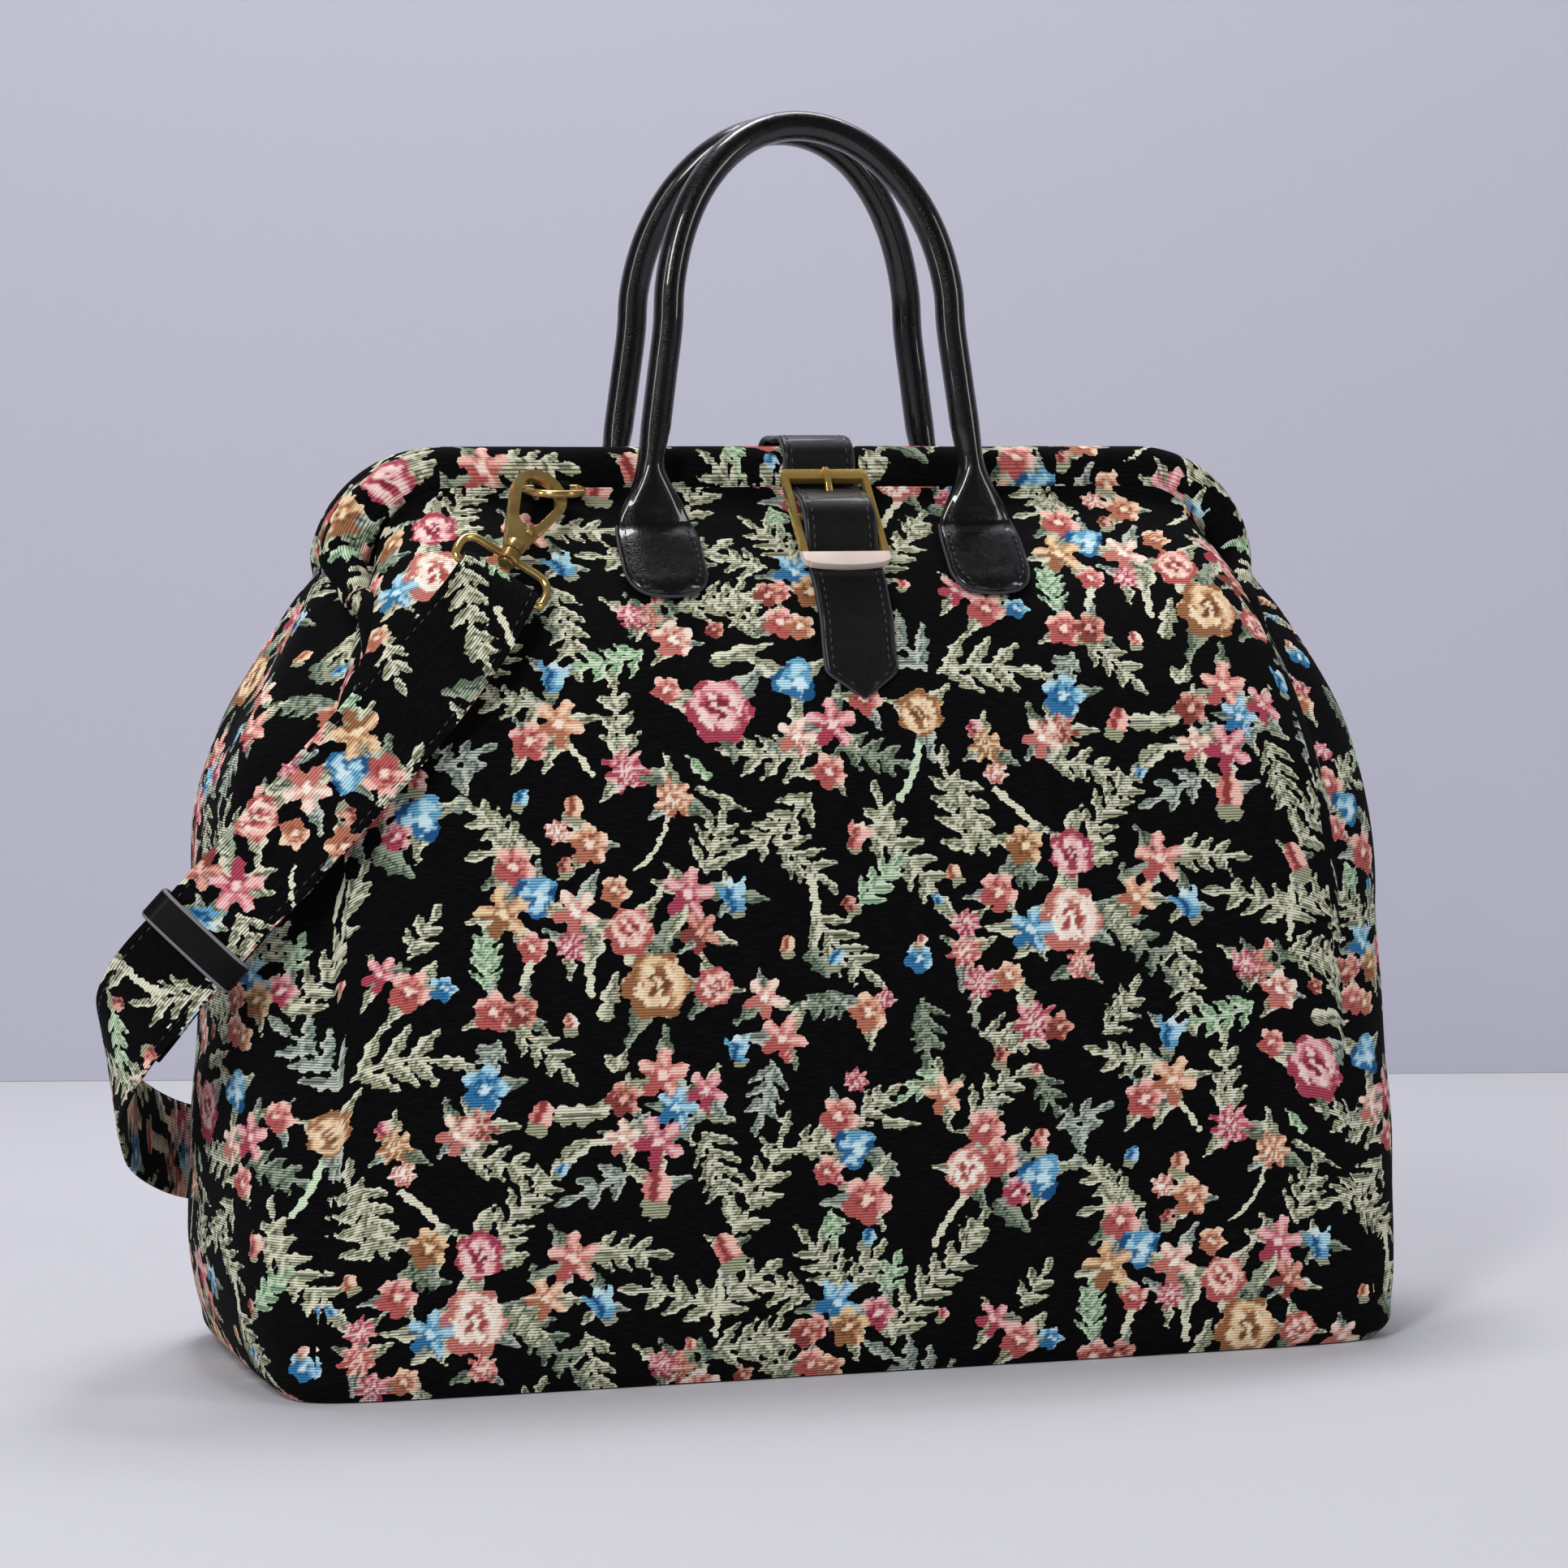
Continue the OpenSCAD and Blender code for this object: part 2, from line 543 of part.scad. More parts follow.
module buckle_chape() {
    color(leather_c) difference() {
        translate([closer_x, 0, 0]) across(chape_w) polygon(strip(chape_points, chape_t));
        in_buckle() translate([-chape_slot / 2, -buckle_h / 2, -tongue_eye_r - tongue_t])
            cube([chape_slot, buckle_h, buckle_h]);
    }
}

// D-rings in their cloth tabs

ring_bar = [-rim_half_d - 2 * ring_wire, rim_z + ring_wire + 2 * seat_gap];
// Thickness of the tabs' cloth
tab_wall = 1.2;
tab_out_r = ring_wire / 2 + seat_gap + tab_wall;
// Places a piece of the second fitting: the first one's mirror image behind the bag
module second() {
    translate([2 * ring_x, 0, 0]) mirror([0, 1, 0]) children();
}
module in_ring() {
    translate([-ring_x, ring_bar[0], ring_bar[1]]) rotate([ring_droop, 0, 0]) children();
}
module d_ring_a() {
    color(brass_c) in_ring() {
        rotate([0, 90, 0]) cylinder(d = ring_wire, h = 2 * ring_r, center = true);
        for (s = [-1, 1]) translate([s * ring_r, 0, 0]) {
            sphere(d = ring_wire);
            rotate([90, 0, 0]) cylinder(d = ring_wire, h = ring_side);
        }
        translate([0, -ring_side, 0]) rotate([0, 0, 180])
            rotate_extrude(angle = 180) translate([ring_r, 0]) circle(d = ring_wire);
    }
}
module d_ring_b() { second() d_ring_a(); }
module ring_tab_a() {
    reach = -rim_half_d - seat_gap - ring_bar[0];
    color(cloth_c) translate([-ring_x, ring_bar[0], ring_bar[1]]) rotate([90, 0, 90])
        linear_extrude(ring_tab_w, center = true) difference() {
            union() {
                circle(tab_out_r);
                translate([0, -tab_out_r]) square([reach, 2 * tab_wall]);
            }
            circle(ring_wire / 2 + seat_gap);
        }
}
module ring_tab_b() { second() ring_tab_a(); }

// Swivel hooks

// Lean of the hook: its own z axis runs from the swivel to the eye
hook_turn = [-37, 32, -6];
// Place round the D-ring's bow where the eye hangs, as an angle from the front
ring_hang = 45;
// Room between the ring's wire and the top of the eye
eye_play = 4;
function turned(v, a) = let(
    p = [v[0], v[1] * cos(a[0]) - v[2] * sin(a[0]), v[1] * sin(a[0]) + v[2] * cos(a[0])],
    q = [p[0] * cos(a[1]) + p[2] * sin(a[1]), p[1], p[2] * cos(a[1]) - p[0] * sin(a[1])])
    [q[0] * cos(a[2]) - q[1] * sin(a[2]), q[0] * sin(a[2]) + q[1] * cos(a[2]), q[2]];
// Point of the D-ring that the eye hangs on
hang_point = [-ring_x, ring_bar[0], ring_bar[1]]
    + turned([-ring_r * sin(ring_hang), -ring_side - ring_r * cos(ring_hang), 0], [ring_droop, 0, 0]);
hang_l = hook_l - eye_rim - eye_play - ring_wire / 2;
swivel_at = hang_point - turned([0, 0, hang_l], hook_turn);
module in_hook() {
    translate(swivel_at) rotate(hook_turn) children();
}
neck_r = barrel_d / 2 + seat_gap;
neck_z = neck_r;
eye_z = hook_l - eye_r;
hole_r = eye_r - eye_rim;
hole_low_r = neck_r + seat_gap;
hole_low_z = eye_z - hole_r - hole_low_r;
// Gate: its rivet, the lug round it and its reach up to the nose
gate_lug = gate_pin_d + 2 * seat_gap;
gate_x = neck_r - gate_pin_d;
gate_z = hole_low_z - hole_low_r - gate_lug + 2 * seat_gap;
gate_reach = eye_z - gate_z - seat_gap;
lug_t_share = 0.4;
lug_stem_share = 0.8;
lug_t = hook_t * lug_t_share;
module hook_outline() { link(neck_r, neck_z, eye_r, eye_z); }
module hook_hole() { link(hole_low_r, hole_low_z, hole_r, eye_z); }
// Side of the eye that the gate closes, ended by an arc about the rivet
module gate_zone(gap) {
    translate([gate_x, gate_z]) intersection() {
        translate([-gap, -gap]) square(2 * gate_reach);
        circle(gate_reach + gap);
    }
}
module in_gate() {
    translate([gate_x, 0, gate_z]) rotate([90, 0, 0]) children();
}
module hook_a_body() {
    lug_r = gate_lug - seat_gap;
    stem = lug_r * lug_stem_share;
    color(brass_c) in_hook() difference() {
        union() {
            difference() {
                rotate([90, 0, 0]) linear_extrude(hook_t, center = true) hook_outline();
                rotate([90, 0, 0]) linear_extrude(2 * hook_t, center = true) hook_hole();
                rotate([90, 0, 0]) linear_extrude(2 * hook_t, center = true) gate_zone(seat_gap);
                in_gate() cylinder(r = gate_lug + seat_gap, h = 2 * hook_t, center = true);
            }
            in_gate() cylinder(r = lug_r, h = lug_t, center = true);
            translate([gate_x - stem, -lug_t / 2, neck_z]) cube([2 * stem, lug_t, gate_z - neck_z]);
            cylinder(d = barrel_d, h = neck_z);
            translate([0, 0, -barrel_l - 3 * seat_gap]) cylinder(d = post_d, h = barrel_l + neck_z);
            translate([0, 0, -barrel_l - 3 * seat_gap - rivet_head])
                cylinder(d = post_d + 2 * rivet_head, h = rivet_head);
        }
        in_gate() cylinder(d = gate_pin_d + 2 * turn_gap, h = 2 * hook_t, center = true);
    }
}
module hook_a_gate() {
    color(brass_c) in_hook() difference() {
        union() {
            difference() {
                intersection() {
                    rotate([90, 0, 0]) linear_extrude(hook_t, center = true) hook_outline();
                    rotate([90, 0, 0]) linear_extrude(2 * hook_t, center = true) gate_zone(0);
                }
                rotate([90, 0, 0]) linear_extrude(2 * hook_t, center = true) hook_hole();
            }
            in_gate() cylinder(r = gate_lug, h = hook_t, center = true);
        }
        in_gate() {
            cylinder(d = gate_pin_d + 2 * turn_gap, h = 2 * hook_t, center = true);
            cylinder(r = gate_lug + seat_gap, h = lug_t + 2 * seat_gap, center = true);
        }
    }
}
module hook_a_rivet() {
    color(brass_c) in_hook() in_gate() {
        cylinder(d = gate_pin_d, h = hook_t + 2 * seat_gap, center = true);
        for (s = [0, 1]) mirror([0, 0, s]) translate([0, 0, hook_t / 2 + seat_gap])
            cylinder(d1 = 2 * gate_pin_d, d2 = gate_pin_d, h = rivet_head);
    }
}
// The strap narrows where it is gathered round the loop's bar
gather_share = 0.86;
// How far the first row past a fold has opened out to its full width and closed to its layers
open_share = 0.6;
close_share = 0.5;
loop_bend_share = 0.8;
loop_bend = loop_wire * loop_bend_share;
loop_half = strap_w * gather_share / 2 + 2 * seat_gap + loop_bend;
loop_top = -barrel_l / 2 - seat_gap;
module hook_a_loop() {
    color(brass_c) in_hook() difference() {
        union() {
            translate([0, 0, -barrel_l - seat_gap]) cylinder(d = barrel_d, h = barrel_l);
            for (s = [0, 1]) mirror([s, 0, 0]) {
                translate([post_d / 2 + seat_gap, 0, loop_top]) rotate([0, 90, 0])
                    cylinder(d = loop_wire, h = loop_half - loop_bend - post_d / 2 - seat_gap);
                translate([loop_half - loop_bend, 0, loop_top - loop_bend]) rotate([90, 0, 0])
                    rotate_extrude(angle = 90) translate([loop_bend, 0]) circle(d = loop_wire);
                translate([loop_half, 0, -loop_drop + loop_bend])
                    cylinder(d = loop_wire, h = loop_drop + loop_top - 2 * loop_bend);
                translate([loop_half - loop_bend, 0, -loop_drop + loop_bend]) rotate([90, 90, 0])
                    rotate_extrude(angle = 90) translate([loop_bend, 0]) circle(d = loop_wire);
            }
            translate([0, 0, -loop_drop]) rotate([0, 90, 0])
                cylinder(d = loop_wire, h = 2 * (loop_half - loop_bend), center = true);
        }
        cylinder(d = post_d + 2 * turn_gap, h = 4 * barrel_l, center = true);
    }
}
module hook_b_body() { second() hook_a_body(); }
module hook_b_gate() { second() hook_a_gate(); }
module hook_b_rivet() { second() hook_a_rivet(); }
module hook_b_loop() { second() hook_a_loop(); }

// Shoulder strap

// Bars that the strap's two ends fold round, and the way each fold faces
bar_a = swivel_at - turned([0, 0, loop_drop], hook_turn);
bar_b = [bar_a[0] + 2 * ring_x, -bar_a[1], bar_a[2]];
face_a = turned([0, -1, 0], hook_turn);
face_b = [face_a[0], -face_a[1], face_a[2]];
// Route from the front hook round the left side to the back hook, then the way the strap faces
strap_route = [
    [[-150, -73, 294], [0.1, -0.85, 0.5]], [[-166, -78, 276], [0, -0.9, 0.4]],
    [[-186, -83, 254], [-0.1, -0.97, 0.2]], [[-208, -85, 231], [-0.2, -0.95, 0.1]],
    [[-229, -83, 208], [-0.35, -0.93, 0.1]], [[-244, -79, 192], [-0.42, -0.9, 0.1]],
    [[-258, -75, 176], [-0.42, -0.9, 0.1]], [[-272, -71, 160], [-0.42, -0.9, 0.1]],
    [[-282, -60, 142], [-0.75, -0.65, 0.1]], [[-284, -38, 123], [-0.95, -0.3, 0.1]],
    [[-277, -9, 106], [-1, 0, 0]], [[-265, 21, 94], [-0.95, 0.35, 0]],
    [[-251, 50, 84], [-0.88, 0.45, 0]], [[-236, 80, 76], [-0.8, 0.6, 0]],
    [[-212, 106, 68], [-0.45, 0.9, 0]], [[-176, 113, 60], [-0.1, 1, 0]],
    [[-126, 109, 58], [0, 1, 0]], [[-78, 108, 74], [0, 1, 0]],
    [[-37, 107, 104], [0, 1, 0]], [[-4, 106, 140], [0, 1, 0]],
    [[20, 104, 180], [0, 1, 0]], [[38, 99, 222], [0, 0.98, 0.15]],
    [[52, 90, 260], [0, 0.93, 0.35]], [[63, 78, 289], [0.1, 0.87, 0.48]]];
// Rows of the route that the keeper sits on, and that the folded ends reach
keeper_row = 6;
fold_rows = [9, 3];
fold_steps = 6;
layer_off = strap_t / 2 + seat_gap;
fold_off = loop_wire / 2 + 2 * seat_gap + strap_t / 2;
row_count = len(strap_route);
function spread(i, reach) = i == 0 ? mix(fold_off, layer_off, close_share) : i < reach ? layer_off : 0;
function layer(i, sign, reach, back) = let(r = strap_route[back ? row_count - 1 - i : i])
    [r[0] + unit(r[1]) * sign * spread(i, reach), r[1], i == 0 ? mix(gather_share, 1, open_share) : 1];
function fold(bar, face, pull, way) = [for (k = [0 : fold_steps]) let(
    t = way * (90 - 180 * k / fold_steps), out = face * sin(t) - pull * cos(t))
    [bar + out * fold_off, out, gather_share]];
pull_a = turned([0, 0, -1], hook_turn);
pull_b = [pull_a[0], -pull_a[1], pull_a[2]];
strap_line = concat(
    [for (i = [fold_rows[0] - 1 : -1 : 0]) let(p = layer(i, -1, fold_rows[0], false))
        [p[0], -p[1], p[2]]],
    fold(bar_a, face_a, pull_a, -1),
    [for (i = [0 : row_count - fold_rows[1] - 1]) layer(i, 1, fold_rows[0], false)],
    [for (i = [fold_rows[1] - 1 : -1 : 0]) layer(i, 1, fold_rows[1], true)],
    fold(bar_b, face_b, pull_b, 1),
    [for (i = [0 : fold_rows[1] - 1]) let(p = layer(i, -1, fold_rows[1], true))
        [p[0], -p[1], p[2]]]);
// Flat section with eased edges: shares of the half width and of the half thickness
flat_shares = [[1, -0.4], [1, 0.4], [0.96, 1], [0, 1], [-0.96, 1],
               [-1, 0.4], [-1, -0.4], [-0.96, -1], [0, -1], [0.96, -1]];
function flat_ring(line, i) = let(
    d = unit(line[min(len(line) - 1, i + 1)][0] - line[max(0, i - 1)][0]),
    side = unit(cross(line[i][1], d)), out = cross(d, side))
    [for (s = flat_shares)
        line[i][0] + side * s[0] * line[i][2] * strap_w / 2 + out * s[1] * strap_t / 2];
module shoulder_strap() {
    color(cloth_c) rings([for (i = [0 : len(strap_line) - 1]) flat_ring(strap_line, i)]);
}

// Keeper: a leather band that slides on the doubled strap
keeper_dir = unit(strap_route[keeper_row + 1][0] - strap_route[keeper_row - 1][0]);
keeper_side = unit(cross(strap_route[keeper_row][1], keeper_dir));
keeper_out = cross(keeper_dir, keeper_side);
keeper_in_w = strap_w + 3 * seat_gap;
keeper_in_h = 2 * strap_t + 5 * seat_gap;
module strap_keeper() {
    turn = [atan2(keeper_out[2], keeper_dir[2]), asin(-keeper_side[2]),
            atan2(keeper_side[1], keeper_side[0])];
    color(leather_c) translate(strap_route[keeper_row][0]) rotate(turn)
        linear_extrude(keeper_l, center = true) difference() {
            rounded(keeper_in_w + 2 * keeper_t, keeper_in_h + 2 * keeper_t, keeper_t);
            square([keeper_in_w, keeper_in_h], center = true);
        }
}

body_cloth();
lining();
base_board();
front_frame();
back_frame();
frame_rivets();
front_casing();
back_casing();
front_handle();
back_handle();
closure_strap();
buckle_chape();
buckle_frame();
buckle_tongue();
ring_tab_a();
ring_tab_b();
d_ring_a();
d_ring_b();
hook_a_loop();
hook_a_body();
hook_a_gate();
hook_a_rivet();
hook_b_loop();
hook_b_body();
hook_b_gate();
hook_b_rivet();
shoulder_strap();
strap_keeper();
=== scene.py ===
import bpy, bmesh, json, math
import numpy as np
from mathutils import Matrix, Vector
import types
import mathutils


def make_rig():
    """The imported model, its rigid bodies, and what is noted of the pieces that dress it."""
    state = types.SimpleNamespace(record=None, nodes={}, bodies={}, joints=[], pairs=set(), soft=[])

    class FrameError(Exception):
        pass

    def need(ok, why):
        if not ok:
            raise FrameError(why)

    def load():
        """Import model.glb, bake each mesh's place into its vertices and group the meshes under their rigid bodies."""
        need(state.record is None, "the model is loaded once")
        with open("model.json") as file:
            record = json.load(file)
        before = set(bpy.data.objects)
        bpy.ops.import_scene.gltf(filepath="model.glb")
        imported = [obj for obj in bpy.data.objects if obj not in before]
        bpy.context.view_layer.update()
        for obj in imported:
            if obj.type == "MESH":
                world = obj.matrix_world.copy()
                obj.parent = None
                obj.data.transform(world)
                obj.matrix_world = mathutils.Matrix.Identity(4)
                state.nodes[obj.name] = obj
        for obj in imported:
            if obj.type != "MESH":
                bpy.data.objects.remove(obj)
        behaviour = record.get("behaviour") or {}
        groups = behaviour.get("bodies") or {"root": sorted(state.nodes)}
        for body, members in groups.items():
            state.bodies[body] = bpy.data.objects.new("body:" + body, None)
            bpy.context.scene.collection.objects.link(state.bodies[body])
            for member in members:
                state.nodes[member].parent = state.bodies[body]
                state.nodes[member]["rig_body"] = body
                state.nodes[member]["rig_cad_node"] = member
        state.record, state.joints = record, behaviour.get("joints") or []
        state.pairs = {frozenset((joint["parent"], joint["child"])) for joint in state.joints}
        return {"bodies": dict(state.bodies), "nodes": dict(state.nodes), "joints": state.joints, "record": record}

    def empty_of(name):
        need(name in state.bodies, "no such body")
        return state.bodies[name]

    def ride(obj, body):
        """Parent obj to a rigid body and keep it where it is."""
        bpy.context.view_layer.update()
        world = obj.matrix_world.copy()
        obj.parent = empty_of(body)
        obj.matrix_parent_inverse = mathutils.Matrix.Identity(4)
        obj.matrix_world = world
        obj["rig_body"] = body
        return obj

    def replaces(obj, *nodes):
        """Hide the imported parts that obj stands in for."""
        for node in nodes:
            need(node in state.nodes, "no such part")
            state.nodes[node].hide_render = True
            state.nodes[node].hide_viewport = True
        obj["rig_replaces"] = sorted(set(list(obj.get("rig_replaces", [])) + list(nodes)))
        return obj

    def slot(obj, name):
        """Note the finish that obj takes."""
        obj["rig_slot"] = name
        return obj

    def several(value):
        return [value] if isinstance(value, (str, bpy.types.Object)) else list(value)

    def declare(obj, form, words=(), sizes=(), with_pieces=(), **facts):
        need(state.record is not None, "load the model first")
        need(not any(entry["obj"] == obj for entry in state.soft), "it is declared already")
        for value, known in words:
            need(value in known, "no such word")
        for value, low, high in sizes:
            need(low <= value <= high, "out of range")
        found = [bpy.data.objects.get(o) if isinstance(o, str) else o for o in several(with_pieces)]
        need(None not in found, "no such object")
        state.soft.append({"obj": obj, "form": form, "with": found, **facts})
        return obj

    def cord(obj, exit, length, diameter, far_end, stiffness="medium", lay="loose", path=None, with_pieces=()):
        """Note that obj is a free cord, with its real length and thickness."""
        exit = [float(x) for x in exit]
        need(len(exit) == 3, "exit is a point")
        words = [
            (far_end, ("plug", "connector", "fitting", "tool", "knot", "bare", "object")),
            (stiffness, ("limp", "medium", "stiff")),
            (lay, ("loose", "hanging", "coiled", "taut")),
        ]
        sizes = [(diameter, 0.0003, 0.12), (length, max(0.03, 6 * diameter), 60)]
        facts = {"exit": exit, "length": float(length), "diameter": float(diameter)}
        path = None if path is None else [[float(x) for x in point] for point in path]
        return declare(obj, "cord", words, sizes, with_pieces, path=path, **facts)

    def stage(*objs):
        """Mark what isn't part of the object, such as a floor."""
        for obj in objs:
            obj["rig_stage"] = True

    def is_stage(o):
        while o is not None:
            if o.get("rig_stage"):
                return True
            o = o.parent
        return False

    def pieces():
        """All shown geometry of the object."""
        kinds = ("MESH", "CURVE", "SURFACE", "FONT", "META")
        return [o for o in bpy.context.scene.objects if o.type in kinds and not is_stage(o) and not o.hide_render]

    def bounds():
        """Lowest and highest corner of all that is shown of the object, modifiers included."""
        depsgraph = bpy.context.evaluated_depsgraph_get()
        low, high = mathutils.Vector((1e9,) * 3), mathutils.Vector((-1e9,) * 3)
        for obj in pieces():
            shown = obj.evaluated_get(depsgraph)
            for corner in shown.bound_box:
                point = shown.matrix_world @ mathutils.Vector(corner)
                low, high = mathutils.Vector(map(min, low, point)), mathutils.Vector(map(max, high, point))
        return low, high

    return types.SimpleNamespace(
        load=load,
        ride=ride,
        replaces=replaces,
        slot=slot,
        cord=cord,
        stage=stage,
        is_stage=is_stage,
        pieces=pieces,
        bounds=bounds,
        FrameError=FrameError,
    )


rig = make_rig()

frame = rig.load()
cadBox = [[float(x) for x in corner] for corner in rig.bounds()]
nodes = frame["nodes"]
mm = 0.001
print("frame loaded:", len(nodes), "nodes")


# camera and studio light

view = {"eye": (-0.5663, -1.8353, 0.3322), "turn": -17.04, "dip": 3.184, "roll": -0.326, "lens": 108.77,
        "sensor": 36}

def setCamera():
    turn, dip, roll = (math.radians(view[k]) for k in ("turn", "dip", "roll"))
    ahead = Vector((-math.sin(turn) * math.cos(dip), math.cos(turn) * math.cos(dip), -math.sin(dip)))
    side = ahead.cross(Vector((0, 0, 1))).normalized()
    up = side.cross(ahead)
    right = side * math.cos(roll) + up * math.sin(roll)
    top = up * math.cos(roll) - side * math.sin(roll)
    lens = bpy.data.cameras.new("camera")
    lens.lens, lens.sensor_width, lens.sensor_fit = view["lens"], view["sensor"], "HORIZONTAL"
    cam = bpy.data.objects.new("camera", lens)
    cam.matrix_world = Matrix((right, top, -ahead)).transposed().to_4x4()
    cam.location = view["eye"]
    bpy.context.collection.objects.link(cam)
    bpy.context.scene.camera = cam

setCamera()

studio = {                              # place, size, power
    "key": ((-1.35, -1.9, 1.7), (0.4, 1.2), 35), "fill": ((1.7, -1.5, 1.1), (0.4, 1.2), 9),
    "top": ((-0.15, 0.3, 1.9), (0.6, 0.4), 11), "rim": ((0.5, 0.9, 1.7), (1.0, 0.6), 9),
    "strip": ((-1.5, -0.7, 0.75), (0.2, 1.2), 5), "back": ((0.5, 0.62, 2.0), (1.6, 0.4), 17)}
aims = {"bag": (0, 0, 0.22), "back": (0.4, 1.3, 0.7)}

def setLight(name, place, size, power):
    lamp = bpy.data.lights.new(name, "AREA")
    lamp.shape, lamp.size, lamp.size_y, lamp.energy = "RECTANGLE", *size, power
    obj = bpy.data.objects.new(name, lamp)
    obj.location = place
    aim = Vector(aims.get(name, aims["bag"]))
    obj.rotation_euler = (aim - Vector(place)).to_track_quat("-Z", "Y").to_euler()
    bpy.context.collection.objects.link(obj)

for name, (place, size, power) in studio.items():
    setLight(name, place, size, power)
bpy.context.scene.view_settings.view_transform = "Standard"


# shader maths: one wrapper round a socket

class Tone:
    def __init__(self, tree, out=None):
        self.tree, self.out = tree, out

    def feed(self, socket, value):
        if isinstance(value, Tone):
            self.tree.links.new(value.out, socket)
        elif value is not None:
            socket.default_value = value

    def node(self, kind, settings=None, sockets=None, pick=0):
        n = self.tree.nodes.new("ShaderNode" + kind)
        for key, value in (settings or {}).items():
            setattr(n, key, value)
        for key, value in (sockets or {}).items():
            self.feed(n.inputs[key], value)
        return Tone(self.tree, n.outputs[pick])

    def calc(self, operation, a, b=None):
        return self.node("Math", {"operation": operation}, {0: a, 1: b})

    def __add__(self, other): return self.calc("ADD", self, other)
    def __radd__(self, other): return self.calc("ADD", other, self)
    def __sub__(self, other): return self.calc("SUBTRACT", self, other)
    def __rsub__(self, other): return self.calc("SUBTRACT", other, self)
    def __mul__(self, other): return self.calc("MULTIPLY", self, other)
    def __rmul__(self, other): return self.calc("MULTIPLY", other, self)

    def wave(self):                     # a sine that runs from 0 to 1
        return self.calc("SINE", self) * 0.5 + 0.5

    def between(self, low, high):       # 0 below low, 1 above high, smooth between
        return self.node("MapRange", {"interpolation_type": "SMOOTHSTEP"},
                         {"Value": self, "From Min": low, "From Max": high})

    def blend(self, a, b):              # colour a where self is 0, colour b where it is 1
        return self.node("Mix", {"data_type": "RGBA"}, {0: self, 6: a, 7: b}, pick=2)

    def place(self):                    # the point in the piece's own frame
        return self.node("TexCoord", pick="Object")

    def axis(self, i):
        return self.node("SeparateXYZ", None, {0: self}, pick=i)

    def noise(self, scale, detail=2.0, rough=0.5, stretch=None):
        at = self.node("Mapping", None, {"Vector": self, "Scale": stretch}) if stretch else self
        return self.node("TexNoise", None, {"Vector": at, "Scale": scale, "Detail": detail, "Roughness": rough})

    def bump(self, strength, distance):
        return self.node("Bump", None, {"Strength": strength, "Distance": distance, "Height": self})


def finish(name, **fixed):              # a material, its shader maths, and what feeds the shader
    mat = bpy.data.materials.new(name)
    mat.use_nodes = True
    tree = mat.node_tree
    tree.nodes.clear()
    shader = tree.nodes.new("ShaderNodeBsdfPrincipled")
    tree.links.new(shader.outputs[0], tree.nodes.new("ShaderNodeOutputMaterial").inputs[0])
    for key, value in fixed.items():
        shader.inputs[key.replace("_", " ")].default_value = value
    net = Tone(tree)
    return mat, net, lambda key, value: net.feed(shader.inputs[key], value)

def srgb(r, g, b):
    lin = [c / 255 / 12.92 if c <= 10 else ((c / 255 + 0.055) / 1.055) ** 2.4 for c in (r, g, b)]
    return (*lin, 1.0)


# finishes

weave = {"rib": 1.1, "pick": 0.62, "raise": 0.0004}     # millimetres of cloth, and metres
fullTurn = 2 * math.pi

def groundTint(streak, fleck):
    dark = streak.between(0.4, 0.8).blend(srgb(2, 2, 3), srgb(15, 14, 16))
    return (fleck.between(0.64, 0.84) * 0.5).blend(dark, srgb(58, 55, 56))

def carpetFinish():                     # figured chenille: yarn colours in the mesh, ribs and pile here
    mat, net, put = finish("carpetCloth", Specular_IOR_Level=0.1)
    at = net.node("UVMap", {"uv_map": "weave"})
    s, t = at.axis(0), at.axis(1)
    yarn = lambda name, pick: net.node("Attribute", {"attribute_name": name}, pick=pick)
    light, cover = yarn("lightYarn", "Color"), yarn("lightYarn", "Alpha")
    dark, shade = yarn("darkYarn", "Color"), yarn("darkYarn", "Alpha")
    wobble = at.noise(1.0, stretch=(0.22, 0.5, 1)) - 0.5
    course = t * (1 / weave["rib"]) + wobble * 0.22
    rib = (course * fullTurn).wave()
    pick = (s * (fullTurn / weave["pick"]) + wobble * 3).wave()
    fleck = at.noise(1.0, 3, 0.6, (0.9, 2.4, 1))
    step = net.node("CombineXYZ", None, {0: s * 0.5, 1: net.calc("FLOOR", course + 0.25) * 7.3})
    jag = step.noise(1.0, 1)            # each rib ends in its own place
    figure = (cover + (jag - 0.5) * 0.8).between(0.44, 0.56)
    lit = (rib + shade - 1 + (fleck - 0.5) * 0.8 + (jag - 0.5) * 0.5).between(-0.16, 0.16)
    # darker in the rib troughs and on the picks: partly the dark thread showing, partly painted shade in the hollows
    # between ribs
    shadeAndDarkThread = pick.between(0.6, 1.0) * 0.3 + (1 - rib.between(0.0, 0.3)) * 0.3
    thread = shadeAndDarkThread.blend(lit.blend(dark, light), dark)
    streak = at.noise(1.0, 3, 0.65, (0.16, 1.5, 1))
    put("Base Color", figure.blend(groundTint(streak, fleck), thread))
    put("Roughness", 0.95 - figure * 0.2)
    height = figure * (rib * 0.75 + pick * 0.25) + (1 - figure) * (streak * 1.1 + fleck * 0.4)
    put("Normal", height.bump(0.7, weave["raise"]))
    return mat

def plainPileFinish():                  # the same black ground where no figure shows
    mat, net, put = finish("blackPile", Specular_IOR_Level=0.1, Roughness=0.95)
    at = net.place()
    streak, fleck = at.noise(1000, 3, 0.65, (0.16, 0.6, 1.5)), at.noise(1000, 3, 0.6, (0.9, 1, 2.4))
    put("Base Color", groundTint(streak, fleck))
    put("Normal", streak.bump(0.6, weave["raise"]))
    return mat

